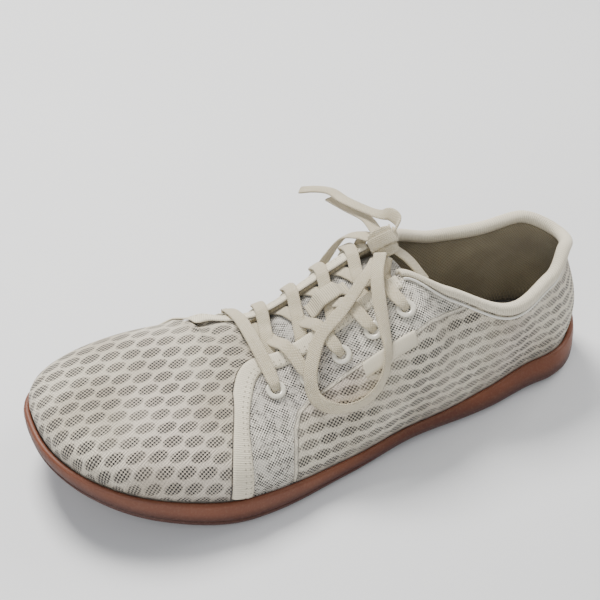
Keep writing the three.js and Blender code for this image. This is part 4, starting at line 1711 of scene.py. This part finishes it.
@dataclass
class Sole:
    """The moulded cup sole and the insole on it."""

    groove: float = 0.7
    groove_from: float = 0.5
    groove_to: float = 0.97

    def profile(self, s: Section) -> tuple[list[tuple[float, float]], list[float]]:
        """The sole's half profile in a section, and each point's height over the underside.

        Args:
            s: The section.

        Returns:
            The profile's points and their heights.
        """
        far = Last.reach(s)
        foot = Last.lift(s, far)
        high = foot + LIP_HEIGHT.read("height", s.at)
        cut = self.groove * clamp((s.at - self.groove_from) / 0.02, 0, 1)
        cut *= clamp((self.groove_to - s.at) / 0.02, 0, 1)
        flat = [share * (far - 8) for share in (0.0, 0.35, 0.7)]
        inside = Last.foot_of(s) + CLEAR
        crest = inside + LIP
        rows = [(r, Last.lift(s, r)) for r in [*flat, far - 8, far - 5.4]]
        rows += [
            (far - 3.4, foot + 0.35),
            (far - 2.0, foot + 1.1),
            (far - 0.9, foot + 2.3),
            (far - 0.2, foot + 3.6),
            (far, foot + 4.5),
            (far - 0.1, foot + 4.85),
            (far - cut, foot + 5.0),
            (far - cut, foot + 5.45),
            (far - 0.1, foot + 5.6),
            (far, foot + 6.1),
            ((far + crest) / 2 + 0.25, foot + 0.6 * (high - foot) + 1.8),
            (crest, high - 1.0),
            (crest - 0.25, high - 0.35),
            (crest - LIP / 2, high),
            (inside + 0.3, high - 0.25),
            (inside, high - 0.9),
            (inside, foot + SEAT + 0.6),
            (inside - 0.4, foot + SEAT),
        ]
        rows += [(r, Last.lift(s, r) + SEAT) for r in reversed(flat)]
        return rows, [z - foot for _, z in rows]

    def build(self) -> None:
        """Makes the sole and the insole."""
        ring = Ring(heel=26, side=70, toe=44).sections()
        made = [self.profile(s) for s in ring]
        grid = [[s.point(r, z) for r, z in rows] for s, (rows, _) in zip(ring, made)]
        walked = Upper.perimeter(ring)
        sole = Surface("sole", np.array(grid))
        sole.maps = {
            MapName.SIDE.value: np.array(
                [[(run, h) for h in heights] for run, (_, heights) in zip(walked, made)]
            )
        }
        skip = np.zeros((len(ring), len(grid[0])), dtype=bool)
        skip[:, -1] = True
        piece = sole.build(ring=True, skip=skip)
        dress(piece, GumFinish("gum_rubber").make())
        settle(piece, "gum_rubber", "outsole")
        self.insole(ring)

    def insole(self, ring: list[Section]) -> None:
        """Makes the insole.

        Args:
            ring: The sections.
        """
        grid = []
        for s in ring:
            flat = [share * (Last.reach(s) - 8) for share in (0.0, 0.35, 0.7)]
            inside = Last.foot_of(s) + CLEAR
            edge = Last.foot_of(s) - WALL - CLEAR
            share = (edge - flat[2]) / (inside - flat[2])
            low = Last.lift(s, flat[2]) * (1 - share) + Last.lift(s, Last.reach(s)) * share
            rows = [(r, Last.lift(s, r)) for r in flat] + [(edge, low)]
            base = SEAT + 2 * CLEAR
            under = [s.point(r, z + base) for r, z in rows]
            top = [s.point(r, z + base + INSOLE) for r, z in rows]
            rim = [s.point(edge, low + base + INSOLE - 0.7)]
            top[-1] = s.point(edge - 0.8, low + base + INSOLE)
            grid.append(under + rim + top[::-1])
        surface = Surface("insole_board", np.array(grid))
        skip = np.zeros((len(ring), len(grid[0])), dtype=bool)
        skip[:, -1] = True
        piece = surface.build(ring=True, skip=skip)
        cloth = ClothFinish("insole_cloth", hue(0.085, 0.07, 0.055), hue(0.05, 0.042, 0.034), 1.5)
        dress(piece, cloth.make())
        settle(piece, "insole_cloth", "insole")


@dataclass
class Strip:
    """A sewn strip that lies on the upper along a line of places."""

    name: str
    width: float
    thick: float
    steps: int
    around: int = 5
    fold: float = 0.0
    rest: float = 0.05
    rim: float = 0.35
    crown: float = 0.65
    square: int = 8

    def build(self, line: Line) -> bpy.types.Object:
        """Makes the strip.

        Args:
            line: Turns a share of the way along into a place: at, down and height.

        Returns:
            The strip.
        """
        grid, chart = [], []
        run, last = 0.0, None
        across = np.linspace(-1, 1, 2 * self.around + 1)
        for k in range(self.steps + 1):
            share = k / self.steps
            step = 0.5 / self.steps
            a, p, b = (line(clamp(share + d, 0, 1)) for d in (-step, 0, step))
            way = np.array(((b[0] - a[0]) * LENGTH, b[1] - a[1]))
            way /= np.linalg.norm(way)
            middle = Last.over(p[0], p[1], p[2])
            if last is not None:
                run += float(np.linalg.norm(middle - last))
            last = middle

            def corner(part: float, height: float) -> np.ndarray:
                """A point of the strip's outline.

                Args:
                    part: Share of the half width.
                    height: Height over the strip's line.

                Returns:
                    The point.
                """
                return Last.over(
                    p[0] - part * way[1] * self.width / 2 / LENGTH,
                    p[1] + part * way[0] * self.width / 2,
                    p[2] + height,
                )

            low = [corner(part, self.rest) for part in across]
            high = []
            for part in across[::-1]:
                full = self.rim + self.crown * (1 - part**self.square)
                high.append(corner(part, self.thick * full * (1 + self.fold * part)))
            grid.append(low + high)
            half = self.width / 2 * (-1 if self.fold > 0 else 1)
            chart.append([(run, part * half) for part in (*across, *across[::-1])])
        surface = Surface(self.name, np.array(grid))
        surface.maps = {MapName.PLAN.value: np.array(chart)}
        return surface.build()


@dataclass
class Trim:
    """Quarter tapes, side tag, lace keeper, collar roll and its piping."""

    tape_steps: int = 150
    tape_proud: float = 0.05
    tape_fold: float = 0.12
    roll_steps: int = 190
    roll_around: int = 20
    roll_half_turn: float = 126.0
    stem: float = 1.3
    stem_low: float = 0.3
    piping_down: float = 4.1
    piping_out: float = 0.8
    piping_radius: float = 0.7

    @staticmethod
    def tape_line(side: int) -> Line:
        """The middle line of a tape, from the lip over the vamp and along the throat's edge.

        Args:
            side: 1 for the outer side and -1 for the inner side.

        Returns:
            The line.
        """
        points = []
        for at, fall in TAPES[side]:
            length = Last.arch(Last.section(at, side)).length - 4 * CLEAR
            edge = THROAT + TAPE_WIDTH / 2
            points.append((at * LENGTH, edge + (length - edge) * fall, 0.0))
        path, _, _ = along_path(np.array(points), 160)
        run = walk(path)

        def line(share: float) -> tuple[float, float, float]:
            """A place on the tape.

            Args:
                share: Share of the way along.

            Returns:
                The place.
            """
            x = float(np.interp(share * run[-1], run, path[:, 0]))
            y = float(np.interp(share * run[-1], run, path[:, 1]))
            bridge = 1.6 * math.exp(-(((x / LENGTH - 0.685) / 0.02) ** 2)) if side < 0 else 0.0
            return x / LENGTH, side * y, 1.2 * CLEAR + bridge

        return line

    @staticmethod
    def tag_line(share: float) -> tuple[float, float, float]:
        """A place on the side tag."""
        down = EYELET_DOWN + EYELET_FLANGE + 1.6 * TAG_WIDTH + 1.6 * share - TAG_WIDTH / 2
        return TAG[0] + (TAG[1] - TAG[0]) * share, down, CLEAR

    @staticmethod
    def keeper_line(share: float) -> tuple[float, float, float]:
        """A place on the keeper, which bows over one crossing of the lace.

        Args:
            share: Share of the way along.

        Returns:
            The place.
        """
        low = -TONGUE_ROOM + CLEAR
        high = Lacing.level(STRAND[4][1]) + LACE / 2 + 3 * CLEAR
        bow = smooth(clamp(min(share, 1 - share) / 0.26 - 0.25, 0, 1))
        at = KEEPER_FRONT + (KEEPER_BACK - KEEPER_FRONT) * share
        return at, 0.0, low + (high - low) * bow

    def build(self) -> None:
        """Makes the trim."""
        sewn = WebbingFinish(
            "tape", hue(0.86, 0.79, 0.62), pitch=0.95, rows=(0.9, 2.8), ribbed=0.34
        ).make()
        for side, word in ((1, "outer"), (-1, "inner")):
            strip = Strip(
                f"tape_{word}",
                TAPE_WIDTH,
                TAPE + self.tape_proud,
                self.tape_steps,
                fold=self.tape_fold * side,
            )
            piece = strip.build(self.tape_line(side))
            dress(piece, sewn)
            settle(piece, "webbing", f"quarter_tape_{word}")
        tag = Strip("tag", TAG_WIDTH, TAPE, 30).build(self.tag_line)
        dress(tag, WebbingFinish("tag_weave", hue(0.68, 0.625, 0.49), ribbed=0.08).make())
        settle(tag, "webbing", "side_tag")
        keeper = Strip("keeper", KEEPER_WIDTH, KEEPER, 44).build(self.keeper_line)
        keeper_web = WebbingFinish("keeper_web", hue(0.7, 0.63, 0.465), pitch=1.05, ribbed=0.7)
        dress(keeper, keeper_web.make())
        settle(keeper, "webbing", "tongue_keeper")
        self.roll()

    def roll(self) -> None:
        """Makes the padded roll round the collar, and the piping under it."""
        places = np.linspace(-THROAT_BACK, THROAT_BACK, self.roll_steps)
        grid, chart, cord = [], [], []

        def top(way: float) -> np.ndarray:
            """The middle of the upper's edge.

            Args:
                way: The place, less than 0 on the inner side.

            Returns:
                The point.
            """
            s = Last.section(way, 1)
            curve = Last.wall_curve(s)
            p, t = curve.at(1.0)[0], curve.way(1.0)[0]
            return s.point(p[0] - WALL / 2 * t[1], p[1] + WALL / 2 * t[0])

        tops = [top(way) for way in places]
        run = walk(np.array(tops))
        for way, walked in zip(places, run):
            s = Last.section(way, 1)
            curve = Last.wall_curve(s)
            p, t = curve.at(1.0)[0], curve.way(1.0)[0]
            ahead, back = top(min(way + 0.004, THROAT_BACK)), top(max(way - 0.004, -THROAT_BACK))
            flat = ahead - back
            flat /= max(np.hypot(flat[0], flat[1]), 1e-9)
            slant = max(0.6, abs(flat[0] * s.dy - flat[1] * s.dx))
            mid = (p[0] - WALL / 2 * t[1], p[1] + WALL / 2 * t[0])
            outline, maps = [], []
            for k in range(self.roll_around):
                part = 2 * k / (self.roll_around - 1) - 1
                angle = math.radians(self.roll_half_turn * part)
                u = ROLL * math.sin(angle)
                v = ROLL * 0.92 * math.cos(angle) * (1 if math.cos(angle) > 0 else 1.25)
                outline.append(self.lay(s, mid, t, u, v, slant))
                maps.append((walked, math.degrees(angle) / 20))
            deep = -ROLL * 0.66
            for side, v in ((1, deep), (1, self.stem_low), (-1, self.stem_low), (-1, deep)):
                u = side * self.stem
                outline.append(self.lay(s, mid, t, u, v, slant))
                maps.append((walked, 0.0))
            grid.append(outline)
            chart.append(maps)
            share = curve.share(curve.length - self.piping_down)
            q, way_down = curve.at(share)[0], curve.way(share)[0]
            out = self.piping_out
            cord.append(s.point(q[0] + out * way_down[1], q[1] - out * way_down[0]))
        surface = Surface("roll", np.array(grid))
        surface.maps = {MapName.PLAN.value: np.array(chart)}
        piece = surface.build()
        roll_rib = WebbingFinish(
            "roll_rib", hue(0.8, 0.735, 0.575), hue(0.42, 0.36, 0.25), ribbed=0.42
        )
        dress(piece, roll_rib.make())
        settle(piece, "webbing", "collar_roll")
        self.piping(np.array(cord))

    @staticmethod
    def lay(
        s: Section, mid: tuple[float, float], t: np.ndarray, u: float, v: float, slant: float
    ) -> np.ndarray:
        """A point of the roll: u outwards from the wall and v up from its edge."""
        return s.point(mid[0] + u * t[1] / slant + v * t[0], mid[1] - u * t[0] + v * t[1])

    def piping(self, line: np.ndarray) -> None:
        """Makes the thin shiny piping under the roll.

        Args:
            line: The line that it follows.
        """
        curve = bpy.data.curves.new("piping", "CURVE")
        curve.dimensions = "3D"
        curve.bevel_depth = self.piping_radius * MM
        curve.bevel_resolution = 3
        curve.use_fill_caps = True
        spline = curve.splines.new("POLY")
        spline.points.add(len(line) - 1)
        for point, place in zip(spline.points, line):
            point.co = (*(place * MM), 1.0)
        piece = bpy.data.objects.new("collar_piping", curve)
        bpy.context.collection.objects.link(piece)
        depsgraph = bpy.context.evaluated_depsgraph_get()
        mesh = bpy.data.meshes.new_from_object(piece.evaluated_get(depsgraph))
        solid = bpy.data.objects.new("collar_piping_cord", mesh)
        bpy.context.collection.objects.link(solid)
        bpy.data.objects.remove(piece)
        mesh.shade_smooth()
        dress(solid, EnamelFinish("piping", hue(0.8, 0.78, 0.7)).make())
        settle(solid, "webbing")


@dataclass
class Tongue:
    """The padded tongue under the throat."""

    steps: int = 60
    across: int = 24

    def build(self) -> None:
        """Makes the tongue."""
        front, back = TONGUE_ROWS.rows[-1][0], TONGUE_ROWS.rows[0][0]
        grid, chart = [], []
        for k in range(self.steps + 1):
            at = front + (back - front) * k / self.steps
            half = TONGUE_ROWS.read("wide", at) * TONGUE_WIDTH / 2
            room = TONGUE_ROOM - TONGUE_ROWS.read("rise", at) * (TONGUE_ROOM - WALL - CLEAR)
            ways = np.linspace(-1, 1, self.across + 1)
            pinch = min(1.0, (self.steps - k) / 2 + 0.35)

            def line(depth: float, thin: float) -> list[np.ndarray]:
                """A line across the tongue."""
                return [Last.over(at, w * half, -depth - thin * w * w) for w in ways]

            top = line(room + (1 - pinch) * 0.8, 0.3 * CLEAR)
            low = line(room + TONGUE * pinch, -TONGUE / 3)
            grid.append(top + low[::-1])
            row = [(at * LENGTH, w * half) for w in ways]
            chart.append(row + row[::-1])
        surface = Surface("tongue_pad", np.array(grid))
        surface.maps = {
            MapName.PLAN.value: np.array(chart),
            MapName.SIDE.value: np.array(chart),
            MapName.LIMITS.value: np.full((len(chart), len(chart[0]), 2), (-20.0, -20.0)),
        }
        piece = surface.build()
        finish = MeshFinish(
            "tongue_mesh", hue(0.66, 0.62, 0.54), hue(0.5, 0.46, 0.38), hue(0.6, 0.53, 0.48)
        )
        dress(piece, finish.make())
        settle(piece, "tongue_mesh", "tongue")


class Lacing:
    """Eyelets and the flat lace that runs through them to a bow."""

    PROFILE = 7
    STEPS = 70
    # A dive into an eyelet: millimetres beyond its middle and out, turn of the facing, width
    DIVE = (
        (-4.4, 2.75, 0.0, 0.95),
        (-2.0, 2.5, 0.35, 0.74),
        (-0.5, 1.3, 0.9, 0.58),
        (-0.1, -2.0, 1.0, 0.52),
    )
    # The knot's bands: half length, half depth, shift upwards, width and lean
    BANDS = (
        (6.8, 4.3, 0.4, 1.0, 0.25),
        (5.2, 3.0, 2.6, 0.85, 0.6),
        (4.6, 2.8, -2.4, 0.8, -0.7),
    )

    def __init__(self) -> None:
        """Makes the lace's finish."""
        self.cloth = LaceFinish("lace_weave").make()

    @staticmethod
    def level(share: float) -> float:
        """Height of a strand's middle: 0 lies on the tongue and 1 on the tape.

        Args:
            share: The level.

        Returns:
            The height over the skin.
        """
        low = -TONGUE_ROOM + CLEAR + LACE / 2
        high = CLEAR + TAPE + CLEAR + LACE / 2
        return low + (high - low) * share

    @staticmethod
    def place_of(k: int, side: int) -> tuple[float, float]:
        """The place of an eyelet, counted from the front."""
        gap = (EYELET_FRONT - EYELET_BACK) / (EYELETS - 1)
        return EYELET_FRONT - k * gap, side * EYELET_DOWN

    def ribbon(
        self,
        name: str,
        points: list[np.ndarray],
        faces: list[np.ndarray],
        turns: list[float],
        wide: list[float],
        steps: int,
    ) -> tuple[bpy.types.Object, np.ndarray]:
        """Makes a length of flat lace.

        Args:
            name: The piece's name.
            points: The points that it follows, in millimetres.
            faces: The way that its flat side faces at each point.
            turns: Its roll about its own line at each point, in degrees.
            wide: Its width at each point, as a share of the full width.
            steps: How many steps it has.

        Returns:
            The piece and the line that it follows.
        """
        line, ways, index = along_path(np.array(points), steps)
        knots = np.arange(len(points))
        spread = np.array(
            [[np.interp(i, knots, [f[c] for f in faces]) for c in range(3)] for i in index]
        )
        turn = np.radians(np.interp(index, knots, turns))
        broad = np.interp(index, knots, wide)
        run = walk(line)
        grid, chart = [], []
        for p, way, up, angle, share, walked in zip(line, ways, spread, turn, broad, run):
            across = np.cross(way, up)
            across /= np.linalg.norm(across)
            lift = np.cross(across, way)
            c, s = math.cos(angle), math.sin(angle)
            across, lift = across * c - lift * s, lift * c + across * s
            half = LACE_WIDTH / 2 * share
            thick = LACE / 2 * (2 - share) ** 0.5
            outline, maps = [], []
            for k in range(4 * self.PROFILE):
                turned = 2 * math.pi * k / (4 * self.PROFILE)
                u = math.copysign(abs(math.cos(turned)) ** 0.45, math.cos(turned)) * half
                v = math.copysign(abs(math.sin(turned)) ** 0.75, math.sin(turned)) * thick
                outline.append(p + across * u + lift * v)
                maps.append((walked, u))
            grid.append(outline)
            chart.append(maps)
        surface = Surface(name, np.array(grid))
        surface.maps = {MapName.PLAN.value: np.array(chart)}
        piece = surface.build()
        dress(piece, self.cloth)
        return piece, line

    def dive(
        self, at: float, side: int, lean: float = 0.0
    ) -> list[tuple[np.ndarray, np.ndarray, float]]:
        """Points where a strand turns down into an eyelet: each with its facing and width.

        Args:
            at: The eyelet's place.
            side: The eyelet's side.
            lean: How much the strand's place changes for each millimetre down.

        Returns:
            The points.
        """
        out = Last.facing(at, side * EYELET_DOWN)
        beyond = Last.over(at + lean, side * (EYELET_DOWN + 1), 0)
        beyond = beyond - Last.over(at, side * EYELET_DOWN, 0)
        beyond /= np.linalg.norm(beyond)
        centre = Last.over(at, side * EYELET_DOWN, 0)
        return [
            (centre + beyond * a + out * b, out * (1 - mix) + beyond * mix, wide)
            for a, b, mix, wide in self.DIVE
        ]

    def strand(self, name: str, k: int, side: int, column: int) -> bpy.types.Object:
        """Makes a strand from under one edge of the throat to the next eyelet on the other side.

        Args:
            name: The piece's name.
            k: Number of the eyelet that it comes from.
            side: The side that it goes to.
            column: 1 for the strand on top and 2 for the one below.

        Returns:
            The strand.
        """
        start, _ = self.place_of(k, side)
        end, _ = self.place_of(k + 1, side)
        points, faces, wide = [], [], []

        def spot(down: float, level: float) -> None:
            """Adds a point of the strand.

            Args:
                down: Distance from the ridge line.
                level: The strand's level there.
            """
            at = start + (end - start) * (down + EYELET_DOWN) / (2 * EYELET_DOWN)
            points.append(Last.over(at, side * down, self.level(level)))
            faces.append(Last.facing(at, side * down))
            wide.append(1.0)

        for row in STRAND:
            spot(row[0] * THROAT, row[column])
        spot(THROAT + TAPE_WIDTH / 2, 1.2)
        lean = (end - start) / (2 * EYELET_DOWN)
        for point, face, share in self.dive(end, side, lean):
            points.append(point)
            faces.append(face)
            wide.append(share)
        piece, _ = self.ribbon(name, points, faces, [0.0] * len(points), wide, self.STEPS)
        return piece

    def crossings(self) -> None:
        """Makes the bar at the front and the crossings behind it."""
        for k in range(EYELETS - 1):
            over = self.strand(f"lace_x{k + 1}_over", k, -1, 1)
            under = self.strand(f"lace_x{k + 1}_under", k, 1, 2)
            settle(over, "lace", f"lace_crossing_{k + 1}")
            settle(under, "lace")
        at, _ = self.place_of(0, 1)
        points, faces, wide = [], [], []
        for point, face, share in reversed(self.dive(at, -1)):
            points.append(point)
            faces.append(face)
            wide.append(share)
        for share in (-0.6, -0.3, 0.0, 0.3, 0.6):
            down = share * EYELET_DOWN
            points.append(Last.over(at, down, self.level(1.1 + 0.1 * abs(share))))
            faces.append(Last.facing(at, down))
            wide.append(1.0)
        for point, face, share in self.dive(at, 1):
            points.append(point)
            faces.append(face)
            wide.append(share)
        bar, _ = self.ribbon(
            "lace_front_bar", points, faces, [0.0] * len(points), wide, self.STEPS
        )
        settle(bar, "lace", "lace_bar")

    @staticmethod
    def knot_place() -> np.ndarray:
        """The middle of the knot."""
        return Last.over(THROAT_BACK, -KNOT / 2, KNOT_HEIGHT)

    def cord(
        self, name: str, lay: str, far_end: str, *others: bpy.types.Object
    ) -> bpy.types.Object:
        """Makes one of the bow's lengths of lace.

        Args:
            name: The solid that it stands for.
            lay: How it lies; not used.
            far_end: What is at its far end; not used.
            others: Separate pieces on it; not used.

        Returns:
            The piece.
        """
        if name in LOOPS:
            rows = LOOPS[name]
            points = [Last.over(at, down, height) for at, down, height, _ in rows]
            faces = [Last.facing(at, down) for at, down, _, _ in rows]
        else:
            rows = ENDS[name]
            points = [self.knot_place() + np.array(row[:3], dtype=float) for row in rows]
            faces = [np.array((0.0, 0.0, 1.0))] * len(rows)
        turns = [float(row[3]) for row in rows]
        steps = len(rows) * 9
        piece, line = self.ribbon(
            name.replace("lace_", "bow_"), points, faces, turns, [1.0] * len(rows), steps
        )
        settle(piece, "lace", name)
        return piece

    def knot(self) -> bpy.types.Object:
        """Makes the knot: three bands wrapped round the roots of the loops.

        Returns:
            The knot.
        """
        middle = self.knot_place()
        right = np.array((-0.886, 0.463, 0.035))
        front = np.array((0.367, 0.696, 0.617))
        rise = np.cross(right, front)
        rise /= np.linalg.norm(rise)
        if rise[2] < 0:
            rise = -rise
        lengthwise = right * 0.89 + rise * 0.46
        upright = rise * 0.89 - right * 0.46
        pieces = []
        for number, (along, out, shift, wide, lean) in enumerate(self.BANDS):
            points, faces = [], []
            for k in range(17):
                angle = 2 * math.pi * k / 16 + 0.4
                slide = shift + lean * 3 * math.sin(angle) + (k / 16 - 0.5) * 1.2
                points.append(
                    middle
                    + lengthwise * along * math.cos(angle)
                    + front * out * math.sin(angle)
                    + upright * slide
                )
                faces.append(lengthwise * math.cos(angle) / along + front * math.sin(angle) / out)
            piece, _ = self.ribbon(
                f"bow_knot_{number}", points, faces, [0.0] * 17, [wide] * 17, 64
            )
            pieces.append(piece)
        bpy.ops.object.select_all(action="DESELECT")
        for piece in pieces:
            piece.select_set(True)
        bpy.context.view_layer.objects.active = pieces[0]
        bpy.ops.object.join()
        settle(pieces[0], "lace", "lace_knot")
        return pieces[0]

    def bow(self) -> None:
        """Makes the knot, the two strands that rise to it, the loops and the ends."""
        knot = self.knot()
        front = self.cord("lace_riser_front", "taut", "object")
        back = self.cord("lace_riser_back", "taut", "object")
        self.cord("lace_loop_outer", "loose", "knot", knot, front, back)
        self.cord("lace_loop_inner", "loose", "knot")
        self.cord("lace_end_long", "loose", "bare")
        self.cord("lace_end_short", "loose", "bare")

    def eyelets(self) -> None:
        """Makes one pressed ring by hand, and copies it to each place."""
        enamel = EnamelFinish("eyelet_enamel").make()
        bpy.ops.object.select_all(action="DESELECT")
        bpy.ops.mesh.primitive_torus_add(
            major_segments=40,
            minor_segments=14,
            major_radius=(EYELET_FLANGE + EYELET_BORE) / 2 * MM,
            minor_radius=(EYELET_FLANGE - EYELET_BORE) / 2 * MM,
        )
        ring = bpy.context.object
        ring.name = "eyelet_master"
        bpy.ops.object.mode_set(mode="EDIT")
        bpy.ops.mesh.select_all(action="SELECT")
        bpy.ops.transform.resize(value=(1, 1, 0.5))
        bpy.ops.object.mode_set(mode="OBJECT")
        low = -(WALL + CLEAR + FLANGE) * MM
        bpy.ops.mesh.primitive_cylinder_add(
            vertices=40,
            radius=(EYELET_BARREL - 0.1) * MM,
            depth=-low,
            location=(0, 0, low / 2),
            end_fill_type="NOTHING",
        )
        barrel = bpy.context.object
        solid = barrel.modifiers.new("wall", "SOLIDIFY")
        solid.thickness = (EYELET_BARREL - EYELET_BORE) * 0.8 * MM
        bpy.ops.object.modifier_apply(modifier="wall")
        bpy.ops.object.transform_apply(location=True)
        ring.select_set(True)
        bpy.context.view_layer.objects.active = ring
        bpy.ops.object.join()
        ring.data.shade_smooth()
        rest = (CLEAR * 1.5 + (EYELET_FLANGE - EYELET_BORE) / 4) * MM
        for side, word in ((1, "outer"), (-1, "inner")):
            for k in range(EYELETS):
                at, down = self.place_of(k, side)
                centre = Vector(Last.over(at, down, 0) * MM)
                out = Vector(Last.facing(at, down))
                turn = Vector((0, 0, 1)).rotation_difference(out).to_matrix().to_4x4()
                copy = ring.data.copy()
                copy.transform(Matrix.Translation(centre + out * rest) @ turn)
                piece = bpy.data.objects.new(f"ring_{word}_{k + 1}", copy)
                bpy.context.collection.objects.link(piece)
                dress(piece, enamel)
                settle(piece, "eyelet", f"eyelet_{word}_{k + 1}")
        bpy.data.objects.remove(ring)

    def build(self) -> None:
        """Makes the eyelets and the crossings."""
        self.eyelets()
        self.crossings()


@dataclass(frozen=True)
class Studio:
    """The camera at the photograph's angle, soft lights and a pale floor."""

    azimuth: float = 152.19
    elevation: float = 38.11
    roll: float = 2.13
    distance: float = 526.3
    target: Triple = (105.29, -31.18, 42.93)
    focal: float = 1068.17
    frame: float = 600.0

    def camera(self) -> None:
        """Makes the camera."""
        a, e, w = (math.radians(v) for v in (self.azimuth, self.elevation, self.roll))
        out = Vector((math.sin(a) * math.cos(e), -math.cos(a) * math.cos(e), math.sin(e)))
        right = Vector((-out.y, out.x, 0)).normalized()
        up = out.cross(right)
        across = right * math.cos(w) + up * math.sin(w)
        top = up * math.cos(w) - right * math.sin(w)
        data = bpy.data.cameras.new("camera")
        data.sensor_width = 36.0
        data.lens = data.sensor_width * self.focal / self.frame
        data.clip_start = 0.01
        camera = bpy.data.objects.new("camera", data)
        bpy.context.collection.objects.link(camera)
        place = (Vector(self.target) + out * self.distance) * MM
        turn = Matrix((across, top, out)).transposed().to_4x4()
        camera.matrix_world = Matrix.Translation(place) @ turn
        bpy.context.scene.camera = camera

    @staticmethod
    def light(
        name: str, place: Triple, size: float, power: float, tint: Triple
    ) -> None:
        """Adds a soft square light that faces the shoe.

        Args:
            name: The light's name.
            place: Its place in metres.
            size: Its side in metres.
            power: Its power in watts.
            tint: Its colour.
        """
        data = bpy.data.lights.new(name, "AREA")
        data.size = size
        data.energy = power
        data.color = tint
        lamp = bpy.data.objects.new(name, data)
        bpy.context.collection.objects.link(lamp)
        lamp.location = place
        gaze = Vector(LIT_PLACE) - Vector(place)
        lamp.rotation_euler = gaze.to_track_quat("-Z", "Y").to_euler()

    def build(self) -> None:
        """Makes the lights and the floor."""
        self.light("key", (0.2, -0.75, 1.1), 0.5, 30.0, (1.0, 0.975, 0.94))
        self.light("fill", (0.9, 0.9, 0.9), 1.2, 12.0, (0.97, 0.98, 1.0))
        self.light("back", (-0.9, -0.2, 0.7), 0.8, 8.0, (1.0, 0.98, 0.95))
        world = bpy.data.worlds.new("studio")
        world.use_nodes = True
        world.node_tree.nodes["Background"].inputs["Color"].default_value = (0.9, 0.92, 0.95, 1)
        world.node_tree.nodes["Background"].inputs["Strength"].default_value = 0.36
        bpy.context.scene.world = world
        bpy.ops.object.select_all(action="DESELECT")
        bpy.ops.mesh.primitive_plane_add(size=6, location=(0.1, 0, -0.0002))
        floor = bpy.context.object
        floor.name = "floor"
        material = bpy.data.materials.new("pale_floor")
        material.use_nodes = True
        g = Graph(material.node_tree)
        shader = material.node_tree.nodes["Principled BSDF"]
        place = g.node("ShaderNodeTexCoord").outputs["Object"]
        tone = g.mix(g.noise(place, 3.0, 3.0), (0.7, 0.71, 0.72, 1), (0.78, 0.79, 0.8, 1))
        g.wire(tone, shader.inputs["Base Color"])
        shader.inputs["Roughness"].default_value = 0.55
        dress(floor, material)


def main() -> None:
    """Dresses the shoe."""
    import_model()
    bpy.ops.object.select_all(action="DESELECT")
    studio = Studio()
    studio.camera()
    lacing = Lacing()
    lacing.bow()
    lacing.build()
    Upper().build()
    Sole().build()
    Tongue().build()
    Trim().build()
    studio.build()
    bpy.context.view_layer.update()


if __name__ == "__main__":
    logging.basicConfig(level=logging.INFO, format="%(message)s")
    main()
